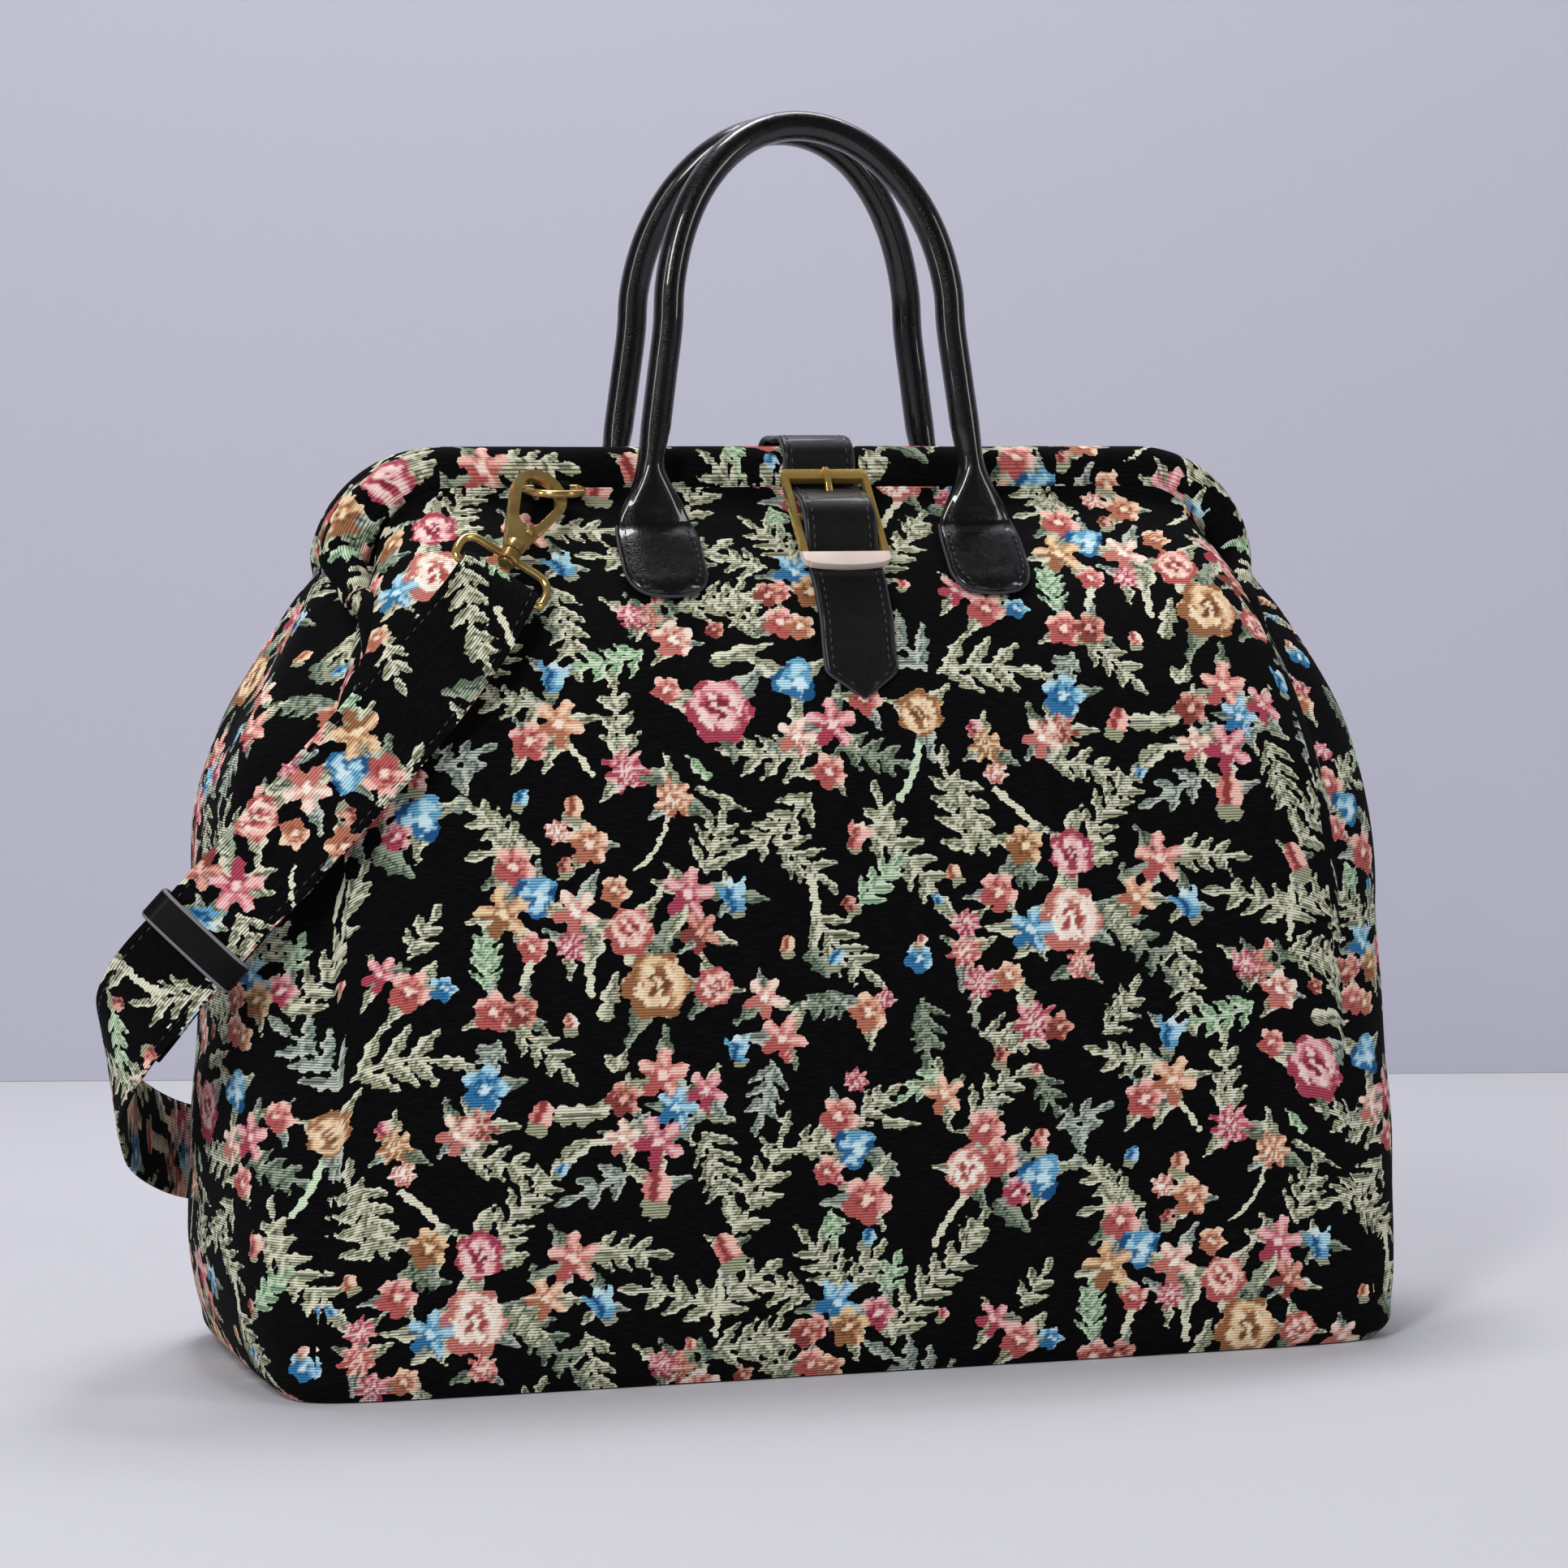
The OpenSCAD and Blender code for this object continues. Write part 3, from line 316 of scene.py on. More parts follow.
def leatherFinish(name, gloss, grain, crease, coat, shine=0.25):
    mat, net, put = finish(name, Coat_Roughness=0.05, Specular_IOR_Level=shine)
    at = net.place()
    cell = net.node("TexVoronoi", {"feature": "DISTANCE_TO_EDGE"}, {"Vector": at, "Scale": grain})
    soft, rumple, wear = at.noise(grain * 0.16, 3, 0.6), at.noise(240, 3, 0.55), at.noise(34, 2, 0.55)
    put("Base Color", wear.between(0.35, 0.75).blend(srgb(3, 3, 4), srgb(9, 9, 12)))
    put("Roughness", gloss + soft * 0.1 + wear * 0.05)
    put("Coat Weight", coat * (0.5 + wear))
    put("Normal", (cell.between(0.0, 0.16) * 0.25 + soft * 0.5 + rumple * crease).bump(0.25, 0.0006))
    return mat

def brassFinish(name, bright, dull, rough, glintBelow=None):
    mat, net, put = finish(name)
    at = net.place()
    stain, fine = at.noise(70, 3), at.noise(1400)
    tint = stain.between(0.35, 0.7).blend(bright, dull)
    gleam = rough + stain.between(0.4, 0.7) * 0.08 + fine * 0.04
    metal = 0.8 - stain.between(0.4, 0.8) * 0.2         # a tarnished skin shines less
    if glintBelow:                          # painted highlight: the bar below this height is made near-white to stand in for its reflection
        # bare marks the painted highlight here, not worn metal: a pale tint, less metal, rougher
        bare = 1 - at.axis(2).between(glintBelow, glintBelow + 0.0008)
        tint = (bare * (0.9 + fine * 0.1)).blend(tint, srgb(250, 232, 222))
        gleam = gleam + bare * 0.16
        metal = metal - bare * 0.3
    put("Base Color", tint)
    put("Metallic", metal)
    put("Roughness", gleam)
    put("Normal", fine.bump(0.03, 0.0003))
    return mat

def steelFinish():
    mat, net, put = finish("frameSteel", Metallic=1.0)
    drawn = net.place().noise(300, 3, 0.6, (0.2, 1, 1))
    put("Base Color", drawn.blend(srgb(150, 152, 156), srgb(190, 192, 195)))
    put("Roughness", 0.3 + drawn * 0.2)
    return mat

def liningFinish(name, light, dark, threads=5200):
    mat, net, put = finish(name, Roughness=0.85, Sheen_Weight=0.1)
    at = net.place()
    warp, weft = ((at.axis(0) + at.axis(1)) * threads).wave(), (at.axis(2) * threads).wave()
    put("Base Color", (warp * weft * 0.5 + at.noise(120) * 0.5).blend(dark, light))
    put("Normal", (warp + weft).bump(0.3, 0.0002))
    return mat

def threadFinish(name, tint, glint=2.2):
    mat, net, put = finish(name, Roughness=0.55)
    twist = net.place().noise(2600)
    put("Base Color", twist.blend(tint, tuple(min(1, c * glint) for c in tint)))
    put("Normal", twist.bump(0.4, 0.0002))
    return mat

def boardFinish():
    mat, net, put = finish("fibreBoard", Roughness=0.9)
    put("Base Color", net.place().noise(500, 4, 0.7).blend(srgb(120, 108, 90), srgb(165, 152, 130)))
    return mat

carpet = carpetFinish()
pile = plainPileFinish()
leather = leatherFinish("blackLeather", 0.2, 950, 1.2, 0.8)
strapLeather = leatherFinish("strapLeather", 0.32, 1300, 0.4, 0.2)
keeperLeather = leatherFinish("keeperLeather", 0.42, 1300, 0.3, 0.03, 0.1)
edgeInk = threadFinish("leatherEdge", srgb(36, 37, 43))
rawEdge = threadFinish("cutEdge", srgb(84, 84, 88))
# the buckle's brass, with a painted highlight on its bottom bar below 0.3196 m
gold = brassFinish("polishedBrassPaintedGlint", srgb(232, 196, 116), srgb(176, 138, 70), 0.14, 0.3196)
antique = brassFinish("antiqueBrass", srgb(212, 180, 112), srgb(138, 108, 60), 0.17)
steel = steelFinish()
lining = liningFinish("tanLining", srgb(196, 160, 112), srgb(158, 122, 80))
board = boardFinish()
stitch = threadFinish("blackThread", srgb(44, 44, 50))
print("finishes made")


# mesh helpers

def meshOf(name, bm):
    mesh = bpy.data.meshes.new(name)
    bm.to_mesh(mesh)
    bm.free()
    return mesh

def addPiece(name, mesh, mat, slot, body="bag", sharp=180, node=None):
    obj = bpy.data.objects.new(name, mesh)
    bpy.context.collection.objects.link(obj)
    mesh.materials.clear()
    mesh.materials.append(mat)
    mesh.shade_smooth()
    mesh.set_sharp_from_angle(angle=math.radians(sharp))
    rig.ride(obj, body)
    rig.slot(obj, slot)
    if node:
        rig.replaces(obj, node)
    return obj

def closeMesh(mesh):                    # sew the seam of a rolled-up grid and fill its ends
    bm = bmesh.new()
    bm.from_mesh(mesh)
    bmesh.ops.remove_doubles(bm, verts=bm.verts, dist=1e-6)
    bmesh.ops.holes_fill(bm, edges=[e for e in bm.edges if e.is_boundary], sides=0)
    bmesh.ops.recalc_face_normals(bm, faces=bm.faces)
    bm.to_mesh(mesh)
    bm.free()

def unitGrid(rows, cols):
    v, u = np.meshgrid(np.linspace(0, 1, rows + 1), np.linspace(0, 1, cols + 1), indexing="ij")
    return np.stack([u, v], -1)

def gridMesh(name, points, cloth=None, start=(0, 0)):   # cloth: each point's place on the cloth
    rows, cols = points.shape[0] - 1, points.shape[1] - 1
    bm = bmesh.new()
    bmesh.ops.create_grid(bm, x_segments=cols, y_segments=rows, size=1)
    mesh = meshOf(name, bm)
    mesh.vertices.foreach_set("co", (points.reshape(-1, 3) * mm).astype(np.float32).ravel())
    corner = np.empty(len(mesh.loops), np.int32)
    mesh.loops.foreach_get("vertex_index", corner)
    while mesh.uv_layers:
        mesh.uv_layers.remove(mesh.uv_layers[0])
    for layer, table in (("OFBake", unitGrid(rows, cols)), ("weave", cloth)):
        if table is not None:
            uv = mesh.uv_layers.new(name=layer)
            uv.data.foreach_set("uv", table.reshape(-1, 2)[corner].astype(np.float32).ravel())
    if cloth is not None:
        yarn = loom.at(cloth[..., 0] + start[0], cloth[..., 1] + start[1])
        for layer, table in (("lightYarn", yarn[..., :4]), ("darkYarn", yarn[..., 4:])):
            tint = mesh.color_attributes.new(layer, "FLOAT_COLOR", "POINT")
            tint.data.foreach_set("color", table.astype(np.float32).ravel())
    return mesh

def gridPiece(name, points, mat, slot, cloth=None, closed=True, **rest):
    mesh = gridMesh(name, points, cloth)
    if closed:
        closeMesh(mesh)
    return addPiece(name, mesh, mat, slot, **rest)

def clothGrid(s, t):                    # s runs along the rows, t across them
    return np.stack(np.meshgrid(s, t, indexing="ij"), -1)

def circle(sides):
    return np.linspace(0, 2 * np.pi, sides + 1)

def rounded(c, square):                 # a circle's cosines and sines drawn out to a rounded square
    return np.sign(c) * np.abs(c) ** (2 / square)

def swept(line, side, up, across, rise):        # a section carried along a line
    return line[:, None] + side[:, None] * across[..., None] + up[:, None] * rise[..., None]

def smooth(x, xs, ys):                  # smooth curve through the rows of a table
    xs, ys = np.asarray(xs, float), np.asarray(ys, float)
    m = np.gradient(ys, xs, axis=0)
    i = np.clip(np.searchsorted(xs, x) - 1, 0, len(xs) - 2)
    w = xs[i + 1] - xs[i]
    q = (x - xs[i]) / w
    if ys.ndim > 1:
        q, w = q[:, None], w[:, None]
    return ((1 + 2 * q) * (1 - q) ** 2 * ys[i] + q * (1 - q) ** 2 * w * m[i]
            + q * q * (3 - 2 * q) * ys[i + 1] + q * q * (q - 1) * w * m[i + 1])

def lengths(points):
    return np.concatenate([[0], np.cumsum(np.linalg.norm(np.diff(points, axis=0), axis=1))])

def evenly(points, step, extra=None):   # a smooth line through points, cut into even steps
    way = lengths(points)
    fine = np.linspace(0, way[-1], int(way[-1] / 0.25))
    line = smooth(fine, way, points)
    run = lengths(line)
    count = max(2, int(round(run[-1] / step)))
    marks = np.interp(np.linspace(0, run[-1], count + 1), run, fine)
    out = smooth(marks, way, points)
    return (out, run[-1]) if extra is None else (out, run[-1], smooth(marks, way, extra))

def unit(v):
    return v / np.maximum(np.linalg.norm(v, axis=-1, keepdims=True), 1e-9)

def sewStitches(name, places, slot, long, thick):
    bm = bmesh.new()
    size = Matrix.Diagonal((long * mm / 2, thick * mm / 2, thick * mm / 2, 1))
    for at, along, out in places:
        along = Vector(along).normalized()
        side = along.cross(Vector(out)).normalized()
        turn = Matrix((along, side, along.cross(side))).transposed().to_4x4()
        bmesh.ops.create_uvsphere(bm, u_segments=6, v_segments=4, radius=1,
                                  matrix=Matrix.Translation(Vector(at) * mm) @ turn @ size)
    return addPiece(name, meshOf(name, bm), stitch, slot)

def tube(name, line, radius, mat, slot, body="bag", sides=8, step=1.5, node=None):
    line, _ = evenly(np.asarray(line, float), step)
    ahead = unit(np.gradient(line, axis=0))
    side = unit(np.cross(ahead, np.array((0.31, 0.2, 0.93))))   # no tube here runs that way
    a = circle(sides)[None]
    points = swept(line, side, np.cross(ahead, side), radius * np.cos(a), radius * np.sin(a))
    return gridPiece(name, points, mat, slot, body=body, sharp=60, node=node)

def eased(node, mat, body, width, slot):        # a node's solid with its edges rounded
    mesh = nodes[node].data.copy()
    bm = bmesh.new()
    bm.from_mesh(mesh)
    bmesh.ops.remove_doubles(bm, verts=bm.verts, dist=1e-6)
    bmesh.ops.dissolve_limit(bm, angle_limit=math.radians(0.6), verts=bm.verts, edges=bm.edges)
    edges = [e for e in bm.edges if e.is_manifold and e.calc_face_angle(0) > math.radians(32)]
    bmesh.ops.bevel(bm, geom=edges, offset=width * mm, offset_type="OFFSET", segments=3,
                    profile=0.5, affect="EDGES", clamp_overlap=True, material=-1)
    bmesh.ops.triangulate(bm, faces=[f for f in bm.faces if len(f.verts) > 4])
    bm.to_mesh(mesh)
    bm.free()
    addPiece(node + ".eased", mesh, mat, slot, body, 35, node)

def dress(node, mat):
    for slot in nodes[node].material_slots:
        slot.material = mat


# the carpet cloth's figure: flowers and sprays of one half-drop repeat, in millimetres of cloth

repeat = {"across": 243.0, "up": 293.0, "cell": 0.5, "sprays": 5, "sepal": 1.9}
yarns = {                               # cream, light, middle and dark thread
    "ro": ((242, 212, 206), (220, 146, 148), (184, 78, 96), (126, 36, 56)),
    "co": ((246, 218, 202), (226, 156, 144), (194, 104, 98), (142, 58, 58)),
    "pe": ((246, 224, 200), (228, 180, 146), (192, 126, 98), (142, 76, 58)),
    "cr": ((250, 240, 226), (236, 204, 184), (208, 136, 122), (160, 72, 70)),
    "ta": ((244, 222, 186), (214, 172, 126), (166, 116, 78), (112, 68, 42)),
    "ru": ((232, 186, 166), (196, 126, 110), (150, 74, 66), (100, 42, 42)),
    "bl": ((208, 232, 238), (128, 186, 210), (56, 126, 172), (28, 80, 126)),
    "s": ((240, 237, 214), (186, 186, 156), (98, 104, 78), (46, 54, 42)),
    "p": ((222, 236, 208), (176, 204, 168), (112, 148, 112), (60, 86, 60)),
    "d": ((176, 186, 164), (114, 128, 106), (64, 80, 64), (30, 42, 32)),
    "g": ((214, 218, 204), (152, 164, 150), (88, 104, 94), (44, 56, 50))}
# two threads of each tone, and the share of the first
tones = {"pale": (0, 1, 0.6), "mid": (1, 2, 0.55), "deep": (2, 3, 0.7), "dark": (3, 3, 0.5),
         "heart": (0, 0, 0.9), "striped": (0, 2, 0.6)}
# kind (Star, Five petals, Rose, Pansy, Bell, Carnation, bUd), yarn, place across, place up, radius
blooms = """Sru -77 7 7; Fcr -67 291 8; Fru -50 295 4; Fco -23 5 7; Fco -21 20 5; Fpe -15 296 6; Fco -72 270 6
Rro -52 261 14; Pbl -20 273 10; Bbl -116 276 7; Spe -116 257 10; Fco -128 250 8; Cro -91 238 10; Cpe -73 227 9
Scr -22 250 8; Sro -7 255 10; Fco -10 236 7; Fco 8 265 7; Rta 30 259 10; Bco 0 211 6; Upe -113 224 5; Ccr -120 215 6
Fpe -108 210 8; Ubl -133 228 4; Fco -138 202 8; Pbl -130 191 9; Sta -143 184 10; Scr -115 184 9; Rco -94 176 10
Fco -132 171 6; Cro -117 171 7; Fpe -99 192 6; Sro -70 190 10; Bbl -52 189 7; Sru -66 175 8; Uru -118 202 4
Uru -5 184 4; Upe -31 169 4; Ubl -12 163 4; Ubl 31 185 3; Upe 38 195 4; Fbl 22 162 6; Ucr 23 169 3; Rta -84 155 14
Rco -61 154 8; Scr -41 149 8; Fco -148 147 8; Fru -137 147 7; Ucr -118 142 4; Sco -34 133 9; Bbl -52 130 6
Fpe 1 142 8; Cro 8 147 5; Fbl -152 118 9; Cru -155 104 8; Scr -163 101 8; Uco -130 107 6; Sco -82 121 10
Fru -98 112 7; Sro -65 114 8; Sbl -77 108 8; Scr -98 97 7; Sro -84 95 10; Uco -85 77 8; Ubl -123 86 3; Cro -5 116 6
Fco -12 102 8; Pbl -6 90 9; Fco -17 81 6; Uro -12 77 3; Fco -1 69 10; Ubl 0 54 4; Spe 31 109 8; Uco -57 52 7
Rro -155 55 10; Sco -118 52 10; Spe -129 37 8; Bbl -107 34 7; Rcr -158 29 14; Cco -154 11 7; Sbl -13 29 9; Fro 4 24 7
Fta -8 19 8; Fru -26 18 6; Cro -83 9 7; Uco -72 16 3; Uco 31 22 3; Fco 63 10 8; Uro 52 252 4; Cta 56 245 8
Ccr 59 234 6; Fco 56 187 8; Sbl 69 172 9; Fta 68 205 8; Cro 42 175 7; Cco 41 164 8; Cro 47 152 8; Fpe 59 154 6
Cro 69 136 10; Fru -164 280 6; Uru 55 123 4; Uco 70 117 3; Fco 48 95 8; Rcr 41 79 10; Fco 54 83 8; Uco 71 89 5
Pbl 71 75 10; Fro 61 69 6; Sro 52 19 7; Fbl 76 10 5"""
# fronds (f): from, to, pairs of leaflets, their length, bow
# leaves (l): from, to, width; stalks (t): from, to, width, bow
greens = """fs -113 22 -107 -11 4 9 0; fp -80 286 -103 280 3 8 .1; ls -53 12 -28 15 7; ls -53 281 -27 289 6
fs -120 264 -146 269 3 8 .1; fs -91 243 -93 271 3 8 0; ts -113 248 -105 237 1.7 .1; fs -18 243 -46 244 3 10 .1
fs -19 227 -46 207 4 9 .15; fd -4 246 20 239 3 8 0; tp 28 247 18 225 2.3 .15; fs 5 214 32 186 4 10 .1
fs 13 206 9 225 2 8 0; fs 46 203 38 237 4 9 .15; fs -33 208 -16 195 3 10 .1; ts -21 195 -20 170 2.7 .15
fs -20 180 1 157 4 10 -.1; ld -23 167 -14 155 6; fp -1 184 14 199 3 7 0; ts -76 222 -90 200 1.2 .3
fs -63 198 -55 218 3 10 0; ls -64 231 -41 220 3; fs -133 211 -152 224 3 8 .1; fs -128 208 -149 207 2 8 -.1
fp -150 156 -150 177 4 7 0; ts -136 157 -129 172 2.7 .1; ts -110 153 -112 172 2.7 -.1; ls -105 142 -99 162 6
ld -83 169 -72 184 7; ld -88 174 -77 164 5; ls -75 191 -86 196 4; lg -159 236 -145 242 4; lg -160 225 -153 227 4
ls -105 181 -110 161 6; fs -43 4 -31 6 2 8 0; ld -58 12 -65 13 4; lp -58 234 -67 244 4; fs -140 142 -121 124 3 8 .1
lg -155 134 -144 130 4; fg -146 136 -151 126 2 6 0; ls -100 123 -105 130 4; ls -99 123 -96 132 3; ls -125 107 -103 106 7
ts -117 96 -101 96 2.2 0; ls -112 96 -127 87 6; fg -96 84 -118 75 2 8 0; fs -66 98 -58 72 4 10 .1; ls -70 106 -53 102 4
fs -54 59 -35 96 4 10 -.1; fg -38 124 -44 103 3 8 0; fs -30 89 -15 95 2 8 0; fs -3 102 8 110 2 7 0; ls 5 99 21 98 4
lg 2 85 14 77 5; fp -16 65 -14 55 2 6 0; fs -161 92 -135 86 3 8 .1; fs -147 62 -126 84 4 9 .1; ls -155 64 -151 73 5
ls -146 51 -135 55 5; fs -112 54 -86 52 3 8 0; td -135 45 -124 49 2.7 0; fd -146 35 -117 7 4 9 .1; ls -139 27 -131 18 5
fs -62 29 -92 38 3 9 -.1; fs -62 27 -42 43 3 9 .1; ts -59 46 -62 19 2 0; fs -62 14 -32 19 4 10 -.1; ld -65 9 -69 19 4
fs -11 36 -24 53 3 10 0; fs -25 32 -40 36 2 9 0; fs -5 35 3 47 2 8 0; fp 7 31 11 43 2 7 0; fs 10 15 41 47 5 10 .1
ts 27 50 41 70 2.3 .1; fp 29 118 15 109 2 6 0; ls 29 118 29 124 3; fs 42 232 51 209 3 8 .1; ts 58 227 75 210 2.3 .1
ls 47 211 57 205 6; fd 61 196 71 193 2 7 0; fs -142 34 -132 24 2 7 0; td 44 146 45 135 2 0; fs 47 132 68 128 3 8 .1
fs 42 99 62 115 3 9 .1; fg -164 240 -146 247 2 7 0; ld 52 66 68 52 7; fs 39 47 46 58 2 7 0; fs 64 23 73 37 2 7 0
ls 66 12 75 21 5; fd 71 115 77 103 2 7 0; lg -156 238 -154 229 4"""

def rowsOf(text):                       # the label and the numbers of each entry
    rows = [row.split() for line in text.splitlines() for row in line.split(";")]
    return [(row[0], *map(float, row[1:])) for row in rows]

flowers = rowsOf(blooms)

class Loom:                             # one repeat as a table of threads, painted shape by shape
    def __init__(self):
        self.high, self.wide = (int(round(n / repeat["cell"])) for n in (repeat["up"], 2 * repeat["across"]))
        self.cloth = np.zeros((self.high, self.wide, 8))        # light thread, cover, dark thread, shade

    def paint(self, s, t, reach, shape):
        step = repeat["cell"]
        n = int(reach / step) + 1
        span = np.arange(-n, n + 1)
        x, y = np.meshgrid(span * step, span * step)
        row = np.floor(y / weave["rib"])
        jag = 0.6 * np.sin(row * 2.4 + s) + 0.5 * np.sin(row * 5.1 + t)
        for layer, yarn, tone in shape(x + jag, y):
            first, second, shade = tones[tone]
            light, dark = (srgb(*yarns[yarn][k])[:3] for k in (first, second))
            for col in (0, 1):          # the second column hangs half a repeat lower
                i = (np.round((t + col * repeat["up"] / 2) / step).astype(int) + span) % self.high
                j = (np.round((s + col * repeat["across"]) / step).astype(int) + span) % self.wide
                patch = self.cloth[np.ix_(i, j)]
                patch[layer] = (*light, 1.0, *dark, shade)
                self.cloth[np.ix_(i, j)] = patch

    def emptiest(self, skip=4):         # the middle of the widest bare ground, and its reach
        step = skip * repeat["cell"]
        bare = self.cloth[::skip, ::skip, 3] == 0
        for _, s, t, r in flowers:
            span = np.arange(-int(r / step), int(r / step) + 1)
            for col in (0, 1):
                i = int((t + col * repeat["up"] / 2) / step) + span
                j = int((s + col * repeat["across"]) / step) + span
                bare[np.ix_(i % bare.shape[0], j % bare.shape[1])] = False
        depth = bare.astype(int)
        while bare.any():
            for axis in (0, 1):
                bare = bare & np.roll(bare, 1, axis) & np.roll(bare, -1, axis)
            depth += bare
        depth = depth[:, :depth.shape[1] // 2]
        i, j = np.unravel_index(depth.argmax(), depth.shape)
        return j * step, i * step, depth.max() * step

    def soften(self):                   # cover and shade change evenly, and the threads run past each edge
        cover, rest = self.cloth[..., 3:4], self.cloth[..., [0, 1, 2, 4, 5, 6, 7]]

        def spread(table):
            for axis in (0, 1):
                table = (table + np.roll(table, 1, axis) + np.roll(table, -1, axis)) / 3
            return table
        soft, near = spread(cover), spread(rest * cover)
        mixed = near / np.maximum(soft, 1e-6)
        full = np.where(cover > 0, rest, mixed)
        full[..., 6:] = mixed[..., 6:]
        filled = soft > 1e-6
        for _ in range(4):
            soft2, near2 = spread(filled.astype(float)), spread(full * filled)
            full = np.where(filled, full, near2 / np.maximum(soft2, 1e-6))
            filled = filled | (soft2 > 1e-6)
        self.cloth = np.concatenate([full[..., :3], soft, full[..., 3:]], -1)

    def at(self, s, t):
        i = np.floor(t / repeat["cell"]).astype(int) % self.high
        j = np.floor(s / repeat["cell"]).astype(int) % self.wide
        return self.cloth[i, j]

def bloomShape(kind, yarn, r, spin):
    def polar(x, y):
        a = np.arctan2(y, x)
        return np.hypot(x, y) / r, a + spin, np.cos(a - 0.9)

    def star(x, y):
        q, a, sun = polar(x, y)
        petal = np.abs(np.cos(2.5 * a))
        inside = q < 0.36 + 0.72 * petal ** 1.1
        yield inside, yarn, "mid"
        yield inside & (sun < -0.3), yarn, "deep"
        yield inside & (q > 0.3) & (petal > 0.86) & (sun > -0.6), yarn, "pale"
        yield inside & (petal < 0.28) & (q > 0.16), yarn, "deep"
        yield q < 0.2, yarn, "heart"

    def five(x, y):
        q, a, sun = polar(x, y)
        petal = np.abs(np.cos(2.5 * a))
        edge = 0.64 + 0.4 * petal ** 0.7
        inside = q < edge
        yield inside, yarn, "mid"
        yield inside & (sun < -0.2), yarn, "deep"
        yield inside & (q > edge - 0.34) & (petal > 0.5) & (sun > -0.35), yarn, "pale"
        yield inside & (petal < 0.26) & (q > 0.24), yarn, "deep"
        yield (q < 0.5) & (np.cos(5 * a + 1) > 0.4), yarn, "dark"
        yield q < 0.22, yarn, "heart"

    def rose(x, y):
        q, a, sun = polar(x, y)
        inside = q < 0.93 + 0.08 * np.cos(6 * a)
        swirl = np.sin(8.5 * q + 1.6 * np.sin(2 * a) + a)
        yield inside, yarn, "mid"
        yield inside & (sun < -0.35), yarn, "deep"
        yield inside & (swirl > 0.35), yarn, "pale"
        yield inside & (swirl < -0.55), yarn, "deep"
        yield (q < 0.6) & (np.sin(5.5 * (x + 0.5 * y) / r * 2 + 3 * q) > 0.3), yarn, "heart"
        yield (q < 0.34) & (swirl < -0.1), yarn, "dark"
        yield inside & (q > 0.8) & (np.sin(a * 3 + 1) > 0.45), yarn, "deep"

    def pansy(x, y):
        q, a, sun = polar(x, y)
        inside = q < 0.84 + 0.17 * np.cos(3 * a)
        yield inside, yarn, "mid"
        yield inside & (sun < -0.2), yarn, "deep"
        yield (q < 0.74) & (np.sin(3 * a + 2.2 * q) > 0.1), yarn, "pale"
        yield inside & (q > 0.6) & (np.sin(2 * a + 1) > 0.3), yarn, "dark"
        yield np.hypot(x - 0.16 * r, y + 0.1 * r) < 0.26 * r, yarn, "heart"

    def turned(x, y):
        return ((x * math.cos(spin) - y * math.sin(spin)) / r, (x * math.sin(spin) + y * math.cos(spin)) / r)

    def bell(x, y):
        u, v = turned(x, y)
        wide = 0.34 + 0.56 * np.clip((v + 1) / 1.7, 0, 1)
        inside = (np.abs(u) < wide) & (v > -0.95) & (v < 0.72 + 0.26 * np.cos(u * 7))
        yield (np.abs(u) < 0.5 - 0.3 * np.abs(v + 0.9)) & (v > -1.3) & (v < -0.55), "s", "mid"
        yield inside, yarn, "mid"
        yield inside & (u > 0.1) & (v > -0.4), yarn, "pale"
        yield inside & (np.abs(u + 0.25) < 0.16), yarn, "dark"
        yield inside & (v > 0.45) & (np.abs(u) < 0.3), yarn, "heart"

    def carnation(x, y):
        q, a, sun = polar(x, y * 1.08)
        inside = q < 0.78 + 0.18 * np.cos(7 * a) + 0.12 * np.cos(11 * a + 2)
        ray = np.sin(9 * a + 4 * q)
        yield inside, yarn, "mid"
        yield inside & (sun < -0.2), yarn, "deep"
        yield inside & (ray > 0.35), yarn, "pale"
        yield inside & (ray < -0.5), yarn, "deep"
        yield (q < 0.32) & (ray > -0.2), yarn, "heart"

    def bud(x, y):
        u, v = turned(x, y)
        inside = np.hypot(u / 0.72, v) < 1
        yield (np.abs(u) < 0.75 - 0.35 * np.abs(v + 0.85)) & (v < -0.35) & (v > -1.35), "s", "mid"
        yield inside & (v > -0.6), yarn, "mid"
        yield inside & (u > 0.12) & (v > -0.5), yarn, "pale"
        yield inside & (np.abs(u + 0.18) < 0.2) & (v > -0.6), yarn, "dark"

    return {"S": star, "F": five, "R": rose, "P": pansy, "B": bell, "C": carnation, "U": bud}[kind]

def leafShape(ax, ay, bx, by, half, yarn):       # a pointed leaf from a to b
    run = math.hypot(bx - ax, by - ay)
    cx, cy = (bx - ax) / run, (by - ay) / run

    def leaf(x, y):
        u = ((x - ax) * cx + (y - ay) * cy) / run
        v = (y - ay) * cx - (x - ax) * cy
        lobe = 1 - 0.8 * np.abs(((u * 2.6) % 1) - 0.3) * (run > 10)
        edge = half * np.sin(np.pi * np.clip(u * 0.92 + 0.08, 0, 1) ** 0.75) ** 0.9 * lobe
        inside = (u > 0) & (u < 1) & (np.abs(v) < edge)
        yield inside, yarn, "striped"
        yield inside & (v > 0.4 * edge), yarn, "pale"
        yield inside & (v < -0.35 * edge), yarn, "mid"
        yield inside & (np.abs(v) < 0.4) & (u < 0.8), yarn, "deep"
    return leaf

def paintStalk(loom, line, thick, yarn, tone):
    mid = line.mean(0)

    def stalk(x, y):
        away = np.hypot(x[..., None] + mid[0] - line[:, 0], y[..., None] + mid[1] - line[:, 1])
        yield np.min(away, -1) < thick, yarn, tone
    loom.paint(*mid, np.linalg.norm(line - mid, axis=1).max() + 4, stalk)

def bowed(a, b, bow):
    marks = np.linspace(0, 1, 24)[:, None]
    side = np.array((-(b - a)[1], (b - a)[0])) * bow * 1.6
    return a + (b - a) * marks + side * marks * (1 - marks)

